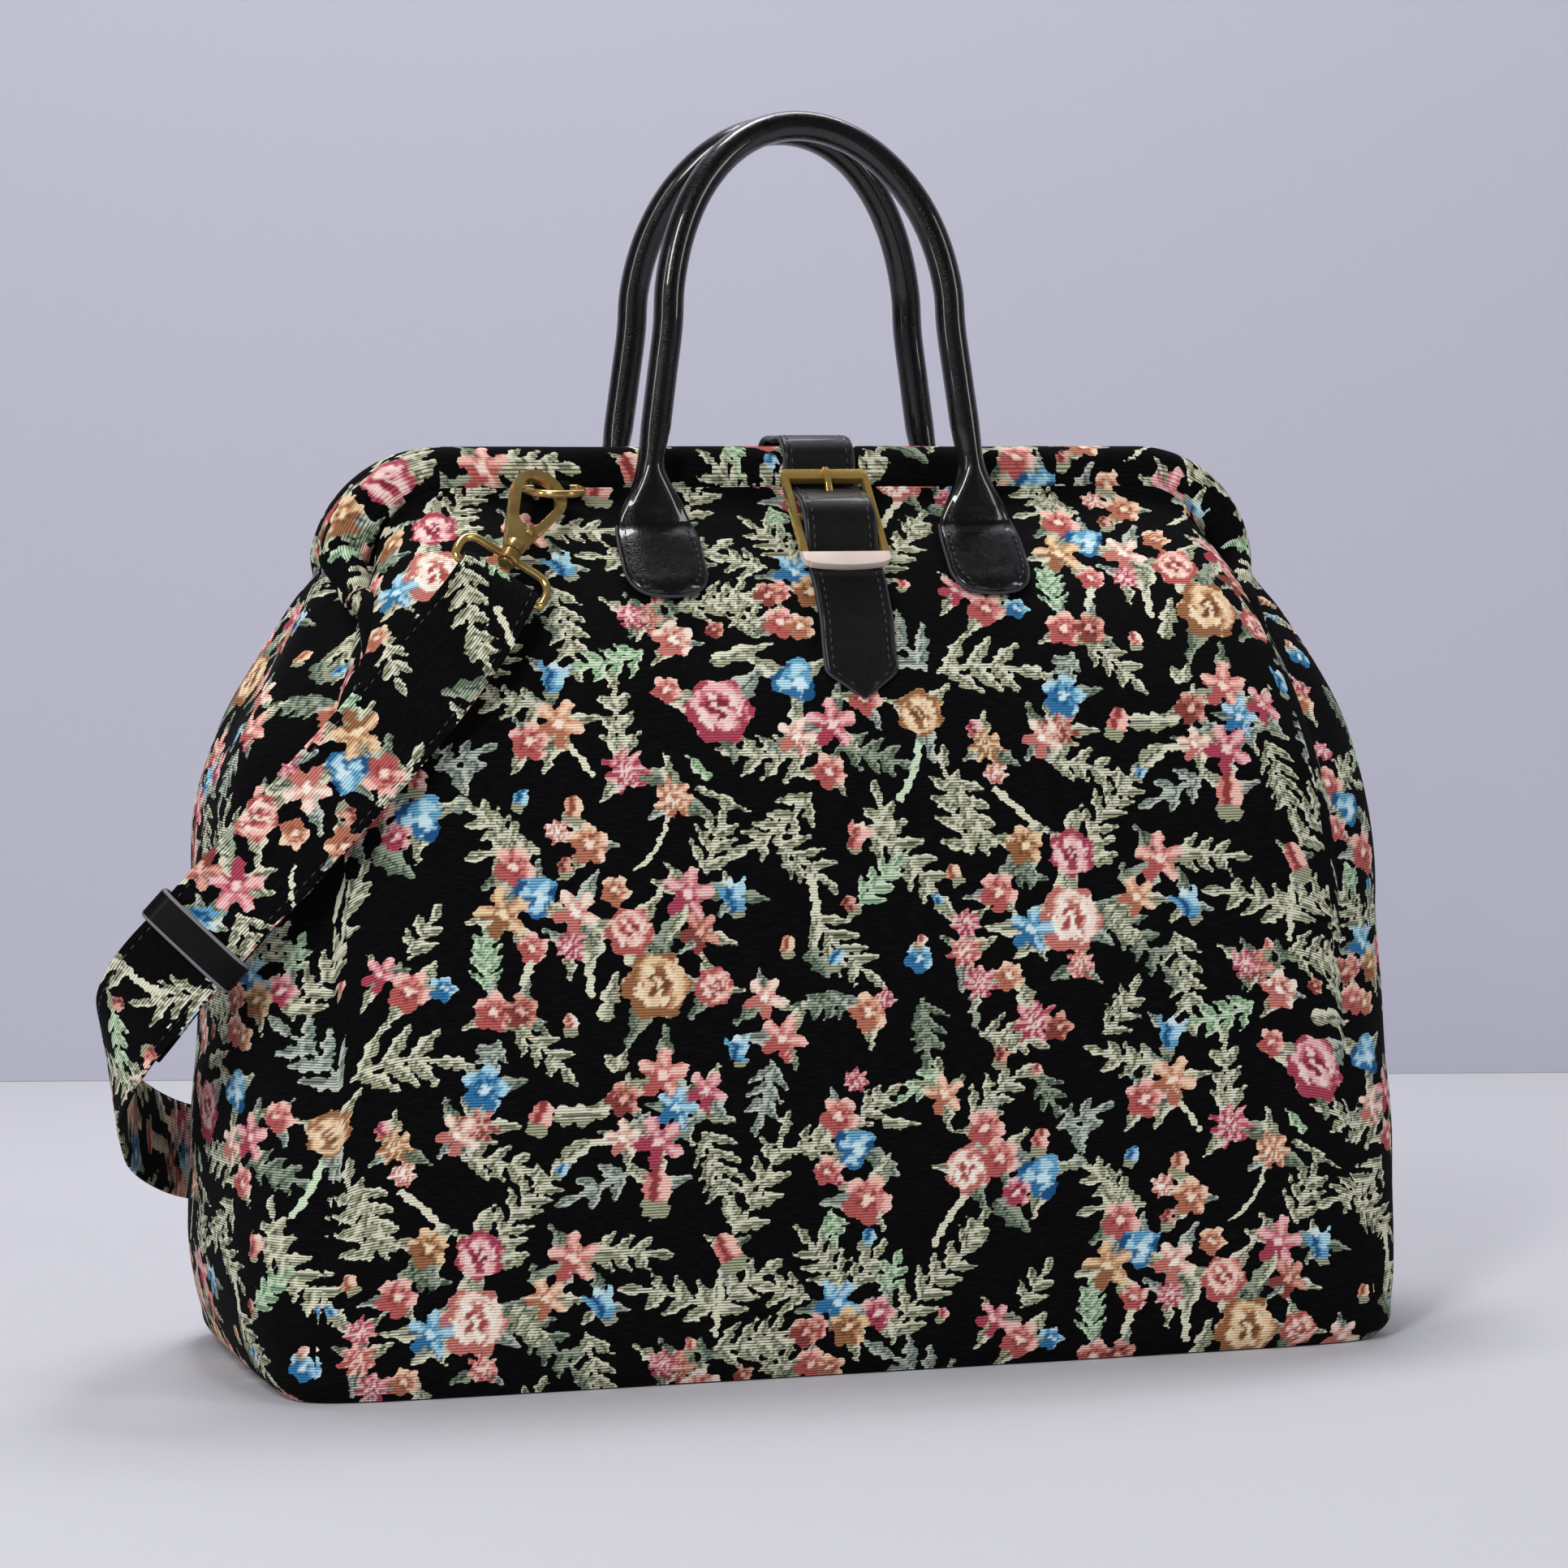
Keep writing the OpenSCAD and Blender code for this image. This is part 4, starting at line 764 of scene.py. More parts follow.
def paintFrond(loom, a, b, pairs, long, bow, yarn):
    line = bowed(a, b, bow)
    paintStalk(loom, line, 1.1, yarn, "striped")
    ahead, room = np.gradient(line, axis=0), np.hypot(*(b - a)) / (pairs + 0.35)
    for k in range(pairs + 1):
        q = (k + 0.35) / (pairs + 0.35)
        at = min(int(q * 23), 23)
        course = math.atan2(ahead[at][1], ahead[at][0])
        size = long * (1.5 - 0.45 * q)
        for lean in ([0.0] if k == pairs else [0.84, -0.78]):
            tip = size * np.array((math.cos(course + lean), math.sin(course + lean)))
            loom.paint(*line[at], size * 1.2, leafShape(0, 0, *tip, min(size * 0.25, room * 0.35), yarn))

def weaveRepeat():
    loom = Loom()
    for label, *v in rowsOf(greens):
        kind, yarn, a, b = label[0], label[1:], np.array(v[0:2]), np.array(v[2:4])
        if kind == "l":
            mid = (a + b) / 2
            leaf = leafShape(*(a - mid), *(b - mid), v[4] * 0.72, yarn)
            loom.paint(*mid, np.hypot(*(b - a)) / 2 + v[4], leaf)
        elif kind == "t":
            paintStalk(loom, bowed(a, b, v[5]), v[4] / 2 + 0.35, yarn, "pale")
        else:
            paintFrond(loom, a, b, int(v[4]), v[5], v[6], yarn)
    for n in range(repeat["sprays"]):   # more sprays where the ground is barest
        s, t, room = loom.emptiest()
        spot, way = np.array((s, t)), np.array((math.cos(n * 2.4), math.sin(n * 2.4))) * room
        paintFrond(loom, spot - way, spot + way * 0.7, 3, room * 0.66, 0.14 * (-1) ** n, "sgdsds"[n % 6])
    for n, (_, s, t, r) in enumerate(flowers):      # leaves that show behind the larger flowers
        for k in range(3 if r > 6 else 0):
            long, lean = r * (repeat["sepal"] + 0.3 * math.sin(n + 2 * k)), 1.9 * n + 2.1 * k
            leaf = leafShape(0, 0, long * math.cos(lean), long * math.sin(lean), long * 0.2, "sdsg"[(n + k) % 4])
            loom.paint(s, t, long * 1.1, leaf)
    for n, (label, s, t, r) in enumerate(flowers):
        spin = 0.5 * math.sin(n * 1.7) if label[0] in "BU" else (n * 0.9) % 6.28
        loom.paint(s, t, r * 1.5, bloomShape(label[0], label[1:], r, spin))
    loom.soften()
    return loom

loom = weaveRepeat()
print("cloth figure woven:", round(float((loom.cloth[..., 3] > 0.5).mean()), 3), "of the ground covered")


# the bag's cloth: four walls and a bottom from one loft

bag = {"width": 460, "depth": 188, "bulge": 20, "fold": 9, "foldBreadth": 0.45, "rim": 341.7, "rimDepth": 16.6,
       "square": 12, "arcX": 145, "arcZ": 310, "arcIn": 31.7, "ease": 1.04, "stop": 4, "tuck": 0.5, "lip": 4,
       "shift": 3.2, "shiftAt": 0.74, "shiftBreadth": 0.16}
loftRows = np.array([                   # height, half width, half depth, bulge, fold, squareness: all shares
    [0.000, 0.982, 0.968, 0.00, 0.0, 1.00], [0.014, 0.998, 0.992, 0.10, 0.0, 1.00],
    [0.050, 1.000, 1.005, 0.38, 0.0, 0.95], [0.130, 0.995, 1.015, 0.75, 0.0, 0.80],
    [0.250, 0.985, 1.030, 0.95, 0.0, 0.65], [0.380, 0.974, 1.020, 1.00, 0.0, 0.55],
    [0.500, 0.970, 0.990, 1.00, 0.1, 0.50], [0.620, 0.968, 0.935, 1.05, 0.2, 0.46],
    [0.730, 0.955, 0.850, 1.05, 0.6, 0.44], [0.820, 0.932, 0.725, 0.95, 1.0, 0.42],
    [0.890, 0.906, 0.575, 0.60, 0.9, 0.46], [0.945, 0.882, 0.395, 0.25, 0.5, 0.55],
    [0.980, 0.858, 0.260, 0.05, 0.1, 0.75], [1.000, 0.842, 0.177, 0.00, 0.0, 0.95]])

def loftAt(h):
    return smooth(np.clip(np.atleast_1d(h), 0, 1), loftRows[:, 0], loftRows[:, 1:]).T

def rimAt(x):
    over = np.maximum(0, np.abs(x) - bag["arcX"])
    end = over * math.tan(math.radians(bag["stop"])) - 0.6
    arc = np.sqrt(np.maximum(0, bag["arcIn"] ** 2 - (over * bag["ease"]) ** 2))
    return bag["arcZ"] + np.maximum(arc, end)

def wallPoints(h, cx, cy):              # h has one value a row; cx, cy one row each
    w, d, bulge, fold, sq = (c[:, None] for c in loftAt(h))
    h = h[:, None]
    power = bag["square"] * sq
    a, b = w * bag["width"] / 2, np.maximum(bag["rimDepth"], d * bag["depth"] / 2)
    swell = bag["bulge"] * bulge * (1 - cy * cy)
    valley = bag["fold"] * fold * np.exp(-(cy / bag["foldBreadth"]) ** 2) * np.abs(cx) ** power
    shift = bag["shift"] * (0.6 - 0.4 * cx) * np.exp(-((h - bag["shiftAt"]) / bag["shiftBreadth"]) ** 2)
    x = cx * a + np.sign(cx) * (swell * cx * cx - valley) - shift
    y, z = cy * b, h * rimAt(cx * loftRows[-1, 1] * bag["width"] / 2)
    nx, ny = np.sign(cx) * np.abs(cx) ** (power - 1) / a, np.sign(cy) * np.abs(cy) ** (power - 1) / b
    n = np.maximum(np.hypot(nx, ny), 1e-9)
    calm = np.clip(h / 0.12, 0, 1) * np.clip((1 - h) / 0.25, 0, 1)
    soft = (1.1 * np.sin(x / 41 + 1.3 * np.sin(z / 57)) * np.sin(z / 46 + 0.7 + y / 60)
            + 0.55 * np.sin((x + 1.4 * z) / 19 + y / 25) * np.sin(z / 29 + x / 83)) * calm
    under = (1 - h) * bag["rim"]
    pucker = 0.5 * np.exp(-((under - 9) / 8) ** 2) * np.sin(x / 3.7 + 1.5 * np.sin(x / 23))
    out = soft + pucker - bag["tuck"] - 0.5 * np.clip(-under / bag["lip"], 0, 1)
    return np.stack([x + out * nx / n, y + out * ny / n, z], -1)

def climbOf(cell):                      # even steps of cloth up the middle of the front
    h = np.linspace(0, 1 + bag["lip"] / bag["rim"], 2400)       # the lip is sewn on to the casing
    d = np.maximum(bag["rimDepth"], loftAt(h)[1] * bag["depth"] / 2)
    run = lengths(np.stack([h * bag["rim"], d], -1))
    marks = np.linspace(0, run[-1], int(run[-1] / cell) + 1)
    return np.interp(marks, run, h), marks

def wallGrid(face, cols, heights):      # face: front, back, left, right
    power = bag["square"] * loftAt(heights)[4]
    turn = (0.5 ** (1 / power))[:, None]
    p = turn * np.linspace(-1, 1, 1201)[None, :]
    q = (1 - np.abs(p) ** power[:, None]) ** (1 / power[:, None])
    cx, cy = {"front": (p, -q), "right": (q, p), "back": (-p, q), "left": (-q, -p)}[face]
    fine = wallPoints(heights, cx, cy)
    points, across = np.empty((len(heights), cols + 1, 3)), np.empty((len(heights), cols + 1))
    for j, line in enumerate(fine):
        run = lengths(line)
        marks = np.linspace(0, run[-1], cols + 1)
        points[j] = np.stack([np.interp(marks, run, line[:, k]) for k in range(3)], -1)
        across[j] = marks - run[-1] / 2
    return points, across

walls = {                               # columns, cell, where its cloth starts in the repeat
    "front": (480, 0.97, (0, 0)), "back": (270, 1.7, (96, 118)),
    "left": (130, 1.5, (-311, 0)), "right": (130, 1.5, (311, 0))}
bottom = {"rows": 60, "cols": 150, "start": (40, 60), "lift": 0.15}

def makeWalls():
    for face, (cols, cell, start) in walls.items():
        heights, climbs = climbOf(cell)
        points, across = wallGrid(face, cols, heights)
        cloth = np.stack(np.broadcast_arrays(across, climbs[:, None]), -1) + start
        middle = cols // 2
        halves = (("A", 0, middle), ("B", middle, cols)) if face == "front" else (("", 0, cols),)
        for half, low, high in halves:  # the front is too fine for one piece
            cut = slice(low, high + 1)
            gridPiece(face + "Wall" + half, points[:, cut], carpet, "cloth", cloth[:, cut], False,
                      node="body_cloth" if half == "A" else None)

def makeBottom():
    cells = unitGrid(bottom["rows"], bottom["cols"])[:, ::-1] * 2 - 1
    u, v = cells[..., 0], cells[..., 1]
    a, b = loftRows[0, 1:3] * (bag["width"], bag["depth"]) / 2 - bag["tuck"]
    draw = lambda c: (1 - np.abs(c) ** bag["square"] * 0.5) ** (1 / bag["square"])
    x, y = u * a * draw(v), v * b * draw(u)
    points = np.stack([x, y, np.full_like(x, bottom["lift"])], -1)
    gridPiece("bottomCloth", points, carpet, "cloth", points[..., :2] + bottom["start"], False)

makeWalls()
makeBottom()
print("bag cloth made")


# mouth: two plump casings sewn round the frame

casing = {"mid": 42, "high": 20, "deep": 16, "stop": 4, "square": 2.6, "step": 1.34, "offset": 8.3, "plump": 0.5,
          "around": 44, "girth": 62}

def casingSpine():
    arc = np.radians(np.linspace(casing["stop"], 90, 40))
    return np.concatenate([np.stack([np.ones(40), arc], -1),
                           np.stack([np.linspace(1, -1, 90)[1:-1], np.full(88, np.pi / 2)], -1),
                           np.stack([-np.ones(40), arc[::-1]], -1)])

def makeCasing(name, node, facing, start):
    spine, mid = casingSpine(), casing["mid"]
    line = np.stack([spine[:, 0] * bag["arcX"] + np.sign(spine[:, 0]) * mid * np.cos(spine[:, 1]),
                     bag["arcZ"] + mid * np.sin(spine[:, 1])], -1)
    run = lengths(line)
    marks = np.linspace(0, run[-1], int(run[-1] / casing["step"]) + 1)
    place, turn = (np.interp(marks, run, spine[:, k])[:, None] for k in (0, 1))
    a = circle(casing["around"])
    ends = np.minimum(marks, run[-1] - marks)[:, None]
    shrink = 1 - 0.2 * np.exp(-(ends / 4) ** 2)
    swell = casing["plump"] * (np.sin(marks / 17) * np.sin(marks / 41 + 1))[:, None] * np.clip(ends / 20, 0, 1)
    out = mid - rounded(np.sin(a), casing["square"]) * (casing["high"] / 2 + swell * 0.3) * shrink
    y = rounded(np.cos(a), casing["square"]) * (casing["deep"] / 2 - 0.1 + swell * 0.2) * shrink - casing["offset"]
    x = place * bag["arcX"] + np.sign(place) * out * np.cos(turn)
    points = np.stack([x, y * facing, bag["arcZ"] + out * np.sin(turn)], -1)
    cloth = clothGrid((run[-1] / 2 - marks) * facing + start[0], a / fullTurn * casing["girth"] + start[1])
    gridPiece(name, points, carpet, "cloth", cloth, node=node)

tail = {"low": 0.845, "rows": 46, "around": 20, "thick": 9.2, "thin": 1.4, "blend": 18, "sink": 2.2, "lift": 9,
        "girth": 50, "start": (250, 175)}

def makeTail(name, facing, side):       # the casing's end runs out as a fold down the corner of the bag
    h = np.linspace(1.0, tail["low"], tail["rows"])
    turn = 0.5 ** (1 / (bag["square"] * loftAt(h)[4]))[:, None]
    corner = wallPoints(h, side * turn, -facing * turn)[:, 0]
    q = np.linspace(0, 1, tail["rows"])[:, None]
    corner -= unit(corner * (1, 1, 0)) * tail["sink"] * q
    start = np.array((side * (bag["arcX"] + casing["mid"]), -casing["offset"] * facing, bag["arcZ"] + tail["lift"]))
    m = np.clip(np.arange(tail["rows"]) / tail["blend"], 0, 1)[:, None]
    m = m * m * (3 - 2 * m)
    line = (start + (corner - corner[0]) * 0.6) * (1 - m) + corner * m
    ahead = unit(np.gradient(line, axis=0))
    across = unit(np.cross(ahead, np.array((0, 1, 0))))
    size = tail["thin"] + (tail["thick"] - tail["thin"]) * (1 - q) ** 1.3
    a = circle(tail["around"])
    points = swept(line, across, np.cross(ahead, across), size * np.cos(a), size * np.sin(a))
    cloth = clothGrid(lengths(line) + tail["start"][0], a / fullTurn * tail["girth"] + tail["start"][1])
    gridPiece(name, points, carpet, "cloth", cloth)

for label, facing in (("front", 1), ("back", -1)):
    for end, side in (("Left", -1), ("Right", 1)):
        makeTail(label + "Fold" + end, facing, side)
makeCasing("frontMouthCasing", "front_casing", 1, (14, 20))
makeCasing("backMouthCasing", "back_casing", -1, (150, 90))
print("mouth casings made")


# shoulder strap: one cloth band folded round both loops

band = {"wide": 38, "thick": 2.4, "gather": 0.86, "layer": 1.5, "fold": 3.4, "reach": (9, 3), "step": 1.1,
        "open": 0.6, "close": 0.5, "seam": 3.2, "fine": 35, "coarse": 13, "start": (246, 192), "under": 60}
bandRoute = np.array([                  # place, then the way the band faces
    [-150, -73, 294, 0.1, -0.85, 0.5], [-166, -78, 276, 0, -0.9, 0.4], [-186, -83, 254, -0.1, -0.97, 0.2],
    [-208, -85, 231, -0.2, -0.95, 0.1], [-229, -83, 208, -0.35, -0.93, 0.1], [-244, -79, 192, -0.42, -0.9, 0.1],
    [-258, -75, 176, -0.42, -0.9, 0.1], [-272, -71, 160, -0.42, -0.9, 0.1], [-282, -60, 142, -0.75, -0.65, 0.1],
    [-284, -38, 123, -0.95, -0.3, 0.1], [-277, -9, 106, -1, 0, 0], [-265, 21, 94, -0.95, 0.35, 0],
    [-251, 50, 84, -0.88, 0.45, 0], [-236, 80, 76, -0.8, 0.6, 0], [-212, 106, 68, -0.45, 0.9, 0],
    [-176, 113, 60, -0.1, 1, 0], [-126, 109, 58, 0, 1, 0], [-78, 108, 74, 0, 1, 0], [-37, 107, 104, 0, 1, 0],
    [-4, 106, 140, 0, 1, 0], [20, 104, 180, 0, 1, 0], [38, 99, 222, 0, 0.98, 0.15], [52, 90, 260, 0, 0.93, 0.35],
    [63, 78, 289, 0.1, 0.87, 0.48]])
loopBars = {"a": ((-138.162, -64.18, 309.247), (0.233686, -0.827596, 0.510368), (-0.483801, -0.55428, -0.677281)),
            "b": ((73.838, 64.18, 309.247), (0.233686, 0.827596, 0.510368), (-0.483801, 0.55428, -0.677281))}

def bandRows():                         # the band's own run, and its two ends folded back
    last = len(bandRoute) - 1

    def layer(i, side, reach, back):
        r = bandRoute[last - i if back else i]
        off, wide = band["layer"] if i < reach else 0, 1.0
        if i == 0:
            off = band["fold"] + (band["layer"] - band["fold"]) * band["close"]
            wide = band["gather"] + (1 - band["gather"]) * band["open"]
        face = unit(r[3:])
        return np.concatenate([r[:3] + face * off * side, face * side, [wide]])

    def fold(bar, way):
        at, face, pull = (np.array(v) for v in loopBars[bar])
        turns = [way * math.radians(90 - 30 * k) for k in range(7)]
        outs = [face * math.sin(t) - pull * math.cos(t) for t in turns]
        return [np.concatenate([at + out * band["fold"], out, [band["gather"]]]) for out in outs]
    ra, rb = band["reach"]
    foldA, foldB = fold("a", -1), fold("b", 1)
    run = foldA + [layer(i, 1, ra, False) for i in range(last + 1 - rb)]
    run += [layer(i, 1, rb, True) for i in range(rb - 1, -1, -1)] + foldB
    tailA = [layer(i, -1, ra, False) for i in range(ra - 1, -1, -1)] + foldA[:1]
    tailB = foldB[-1:] + [layer(i, -1, rb, True) for i in range(rb)]
    return np.array(tailA), np.array(run), np.array(tailB)

def bandPiece(name, rows, s0, lanes, node=None):
    line, run, extra = evenly(rows[:, :3], band["step"], rows[:, 3:])
    ahead = unit(np.gradient(line, axis=0))
    side = unit(np.cross(extra[:, :3], ahead))
    out = np.cross(ahead, side)
    half = band["wide"] / 2 * extra[:, 3]
    seamAt = 1 - 2 * band["seam"] / band["wide"]
    top, low = np.linspace(1, -1, band["fine"]), np.linspace(-1, 1, band["coarse"])
    a = np.concatenate([top, low, [1.0]])
    lift = 1 - 0.55 * np.abs(top) ** 14 - 0.22 * np.exp(-((np.abs(top) - seamAt) / 0.035) ** 2)
    b = np.concatenate([lift, 0.55 * np.abs(low) ** 14 - 1, [lift[0]]])
    points = swept(line, side, out, a * half[:, None], (b * band["thick"] / 2)[None])
    count, around = len(line) - 1, len(a) - 1
    under = np.where(np.arange(around + 1) < band["fine"], 0, band["under"])
    cloth = clothGrid(np.linspace(0, run, len(line)) + s0, a * band["wide"] / 2 + under)
    mesh = gridMesh(name, points, cloth, band["start"])
    # the long band bakes as stacked lengths
    corner = np.empty(len(mesh.loops), np.int32)
    mesh.loops.foreach_get("vertex_index", corner)
    i, j = corner // (around + 1), corner % (around + 1)
    lane = (i.reshape(-1, 4).min(1) * lanes // count).clip(0, lanes - 1).repeat(4)
    uv = np.stack([(i * lanes / count - lane) * 0.98 + 0.01, (lane + 0.02 + 0.96 * j / around) / lanes], -1)
    mesh.uv_layers["OFBake"].data.foreach_set("uv", uv.astype(np.float32).ravel())
    closeMesh(mesh)
    piece = addPiece(name, mesh, carpet, "cloth", sharp=60, node=node)
    seam = [(line[k] + side[k] * edge * (half[k] - band["seam"]) + out[k] * band["thick"] * 0.42, ahead[k], out[k])
            for edge in (1, -1) for k in range(2, len(line) - 2, 4)]
    sewn = sewStitches(name + "Topstitch", seam, "cloth", 2.6, 0.5)
    return piece, sewn, line, run

keeper = {"at": (-258, -75, 176), "along": (-0.64715, 0.1849, -0.7396), "face": (-0.42, -0.9, 0.1),
          "half": (20.6, 5.2), "thick": 1.8, "long": 11.6, "square": 3.4, "edge": 0.95, "bevel": 0.4, "around": 96}

def makeKeeper():                       # a leather band that slides on the doubled strap
    ahead = unit(np.array(keeper["along"]))
    side = unit(np.cross(np.array(keeper["face"]), ahead))
    out = np.cross(ahead, side)
    a = circle(keeper["around"])
    across, high = (rounded(c, keeper["square"])[:, None] for c in (np.cos(a), np.sin(a)))

    def ring(rise, shift):
        w, d = (size + rise for size in keeper["half"])
        return np.array(keeper["at"]) + side * across * w + out * high * d + ahead * shift
    thick, half, bevel = keeper["thick"], keeper["long"] / 2, keeper["bevel"]
    section = [(0, -half), (0, half), (thick - bevel, half), (thick, half - bevel), (thick, bevel - half),
               (thick - bevel, -half), (0, -half)]
    points = np.stack([ring(*place) for place in section], 1)
    piece = gridPiece("keeperBand", points, keeperLeather, "leather", body="keeper", sharp=30, node="strap_keeper")
    edges = [tube("keeperEdge" + end, ring(thick / 2, shift), keeper["edge"], rawEdge, "leather", "keeper")
             for end, shift in (("Low", half), ("High", -half))]
    return [piece, *edges]

def makeBand():
    tailA, main, tailB = bandRows()
    piece, sewn, line, run = bandPiece("shoulderBand", main, 0, 6, "shoulder_strap")
    endA, endB = bandPiece("bandEndA", tailA, -120, 2), bandPiece("bandEndB", tailB, 40, 2)
    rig.cord(piece, exit=line[0] * mm, length=run * mm, diameter=band["wide"] * mm, far_end="object",
            stiffness="limp", lay="hanging", path=[p * mm for p in line[::4]] + [line[-1] * mm],
            with_pieces=[sewn, *endA[:2], *endB[:2], *makeKeeper()])

makeBand()
print("shoulder band made")


# rolled handles with padded tabs

handle = {"around": 28, "step": 1.6, "groove": 0.3, "tabRows": 7, "bead": 0.8, "x": 67, "bend": 335,
          "seam": 2.6 / 16.5, "seamMiddle": 15, "stitch": 3.3, "stitchRise": 2.35}
handleRows = np.array([                 # x, y, z, half width, half thickness of the right half, from the tab up
    [67, -57.7, 303.4, 5.4, 2.2], [67, -57.1, 304.5, 10.4, 2.4], [67, -55.2, 307, 14.1, 2.5],
    [67, -51.9, 310.6, 16.1, 2.5], [67, -46.3, 316.9, 16.5, 2.5], [67, -39.7, 324.2, 16.4, 2.5],
    [67, -33.6, 330, 15.4, 2.7],
    [67, -31.5, 339.9, 11.3, 4.1], [67, -30.1, 346.5, 7.9, 5.3], [67, -28.9, 352, 6, 6], [64.3, -28.4, 371.4, 6, 6],
    [61.6, -27.9, 390.8, 6, 6], [59, -27.5, 410.2, 6, 6], [58.1, -27, 424.1, 6, 6], [55.4, -25.6, 437.5, 6, 6],
    [51.1, -23.6, 450.1, 6, 6], [45.2, -21.1, 461.5, 6, 6], [37.9, -18.4, 471.3, 6, 6], [29.5, -15.9, 479.3, 6, 6],
    [20.2, -13.8, 485.2, 6, 6], [10.2, -12.5, 488.8, 6, 6], [0, -12, 490, 6, 6]])

def makeHandle(name, node, facing):
    rows = np.concatenate([handleRows, (handleRows * (-1, 1, 1, 1, 1))[-2::-1]])
    line, _, size = evenly(rows[:, :3], handle["step"], rows[:, 3:])
    ahead = unit(np.gradient(line, axis=0))
    face = np.tile(np.array((0.0, -1.0, 0.0)), (len(line), 1))
    low = line[:, 2] < handle["bend"]
    face[low] = unit(np.stack([0 * line[low, 0], -np.abs(ahead[low, 2]), np.abs(ahead[low, 1])], -1))
    side = unit(np.cross(face, ahead))
    a = circle(handle["around"])
    flat = np.clip(1 - size[:, 1] / size[:, 0], 0, 1)[:, None]
    across, rise = (rounded(c, 2 + 2.2 * flat) for c in (np.cos(a), np.sin(a)))
    top = flat * (rise > 0)
    rise = rise * (1 - handle["groove"] * top * np.exp(-((np.abs(across) - 0.83) / 0.06) ** 2))
    rise = rise * (1 + 0.25 * top * (1 - across ** 2))
    points = swept(line, side, np.cross(ahead, side), across * size[:, :1], rise * size[:, 1:])
    points[..., 1] *= facing
    gridPiece(name, points, leather, "leather", sharp=60, node=node)
    # stitches and an inked edge round each tab
    tab = handleRows[:handle["tabRows"]]
    climb = lengths(tab[:, :3])
    on = lambda v: np.array([np.interp(v, climb, tab[:, c]) for c in range(3)])
    rim = np.concatenate([np.stack([tab[::-1, 3], climb[::-1]], -1), np.stack([-tab[:, 3], climb], -1)])
    middle = np.array((0, handle["seamMiddle"]))
    loop, _ = evenly((rim - middle) * (1 - handle["seam"]) + middle, handle["stitch"])
    seam = []
    for (u, v), (du, dv) in zip((loop[:-1] + loop[1:]) / 2, np.diff(loop, axis=0)):
        up = unit(on(v + 2) - on(v - 2))
        normal = np.array((0, -up[2], up[1]))
        for mirror in (1, -1):
            spot = (on(v) + (u, 0, 0) + normal * handle["stitchRise"]) * (mirror, facing, 1)
            course = (np.array((du, 0, 0)) + up * dv) * (mirror, facing, 1)
            seam.append((spot, course, normal * (1, facing, 1)))
    sewStitches(name + "Stitches", seam, "leather", 2.2, 0.6)
    for mirror, label in ((1, "Right"), (-1, "Left")):
        line = [(mirror * (handle["x"] + u * 0.99), *(on(v)[1:] * (facing, 1))) for u, v in rim]
        tube(name + label + "Edge", line, handle["bead"], edgeInk, "leather")

makeHandle("frontRolledHandle", "front_handle", 1)
makeHandle("backRolledHandle", "back_handle", -1)
print("handles made")


# closing strap, over the mouth and woven through the buckle

closer = {"wide": 29, "thick": 2.4, "x": 6, "point": 11, "step": 1.2, "seam": 3.0, "bead": 0.7}
closerRoute = np.array([                # y, z, from the back over the mouth to the tip
    [66.6, 287], [60, 298.1], [51.9, 309.6], [43.3, 319.2], [35.5, 327.3], [20.1, 351.5], [18.5, 359.1],
    [12.4, 364.7], [0, 364.5], [-11.1, 364.7], [-17.2, 359.9], [-19.6, 348.9], [-23.9, 344.8], [-31, 343],
    [-38.3, 340.6], [-43.3, 336.9], [-46.5, 331.5], [-48.1, 324], [-49.5, 317], [-51.6, 314.7],
    [-58.3, 307.6], [-62.8, 300.1], [-66.3, 294.2], [-69.4, 282.2], [-73.7, 271.6], [-77.1, 262.7]])

def makeCloser():
    flat, run = evenly(closerRoute, closer["step"])
    way = unit(np.gradient(flat, axis=0))
    normal = np.stack([way[:, 1], -way[:, 0]], -1)      # away from the bag
    left = run - np.linspace(0, run, len(flat))
    half = closer["wide"] / 2 * np.clip(left / closer["point"], 0.04, 1)
    seamAt = 1 - 2 * closer["seam"] / closer["wide"]
    top = np.concatenate([np.linspace(1, 0.8, 6), np.linspace(0.8, -0.8, 15)[1:-1], np.linspace(-0.8, -1, 6)])
    a = np.concatenate([top, top[::-1], [1.0]])
    plain = 1 - 0.7 * np.clip((np.abs(top) - 0.93) / 0.07, 0, 1) ** 2
    crown = plain - 0.18 * np.exp(-((np.abs(top) - seamAt) / 0.03) ** 2) + 0.1 * (1 - top ** 2)
    b = np.concatenate([crown, -plain[::-1], [crown[0]]])
    x = closer["x"] + a * half[:, None]
    yz = flat[:, None] + normal[:, None] * (b * closer["thick"] / 2)[None, :, None]
    points = np.concatenate([x[..., None], yz], -1)
    gridPiece("closingStrap", points, strapLeather, "leather", sharp=50, node="closure_strap")
    seam = []
    for edge in (1, -1):
        for k in range(2, len(flat) - 4, 3):
            inner = half[k] - closer["seam"]
            if inner < 1.2:
                continue
            tilt = edge * (half[k + 3] - half[k]) / (3 * closer["step"])
            spot = (closer["x"] + edge * inner, *(flat[k] + normal[k] * closer["thick"] * 0.47))
            seam.append((spot, (tilt, *way[k]), (0, *normal[k])))
    sewStitches("closingStrapStitches", seam, "leather", 2.4, 0.55)
    marks = list(range(0, len(flat) - 1, 2))
    outline = [(closer["x"] + edge * half[k], *flat[k]) for edge in (1, -1) for k in marks[::edge]]
    tube("closingStrapEdge", outline, closer["bead"], edgeInk, "leather")

makeCloser()
dress("buckle_chape", strapLeather)
print("closing strap made")


# metal and small pieces

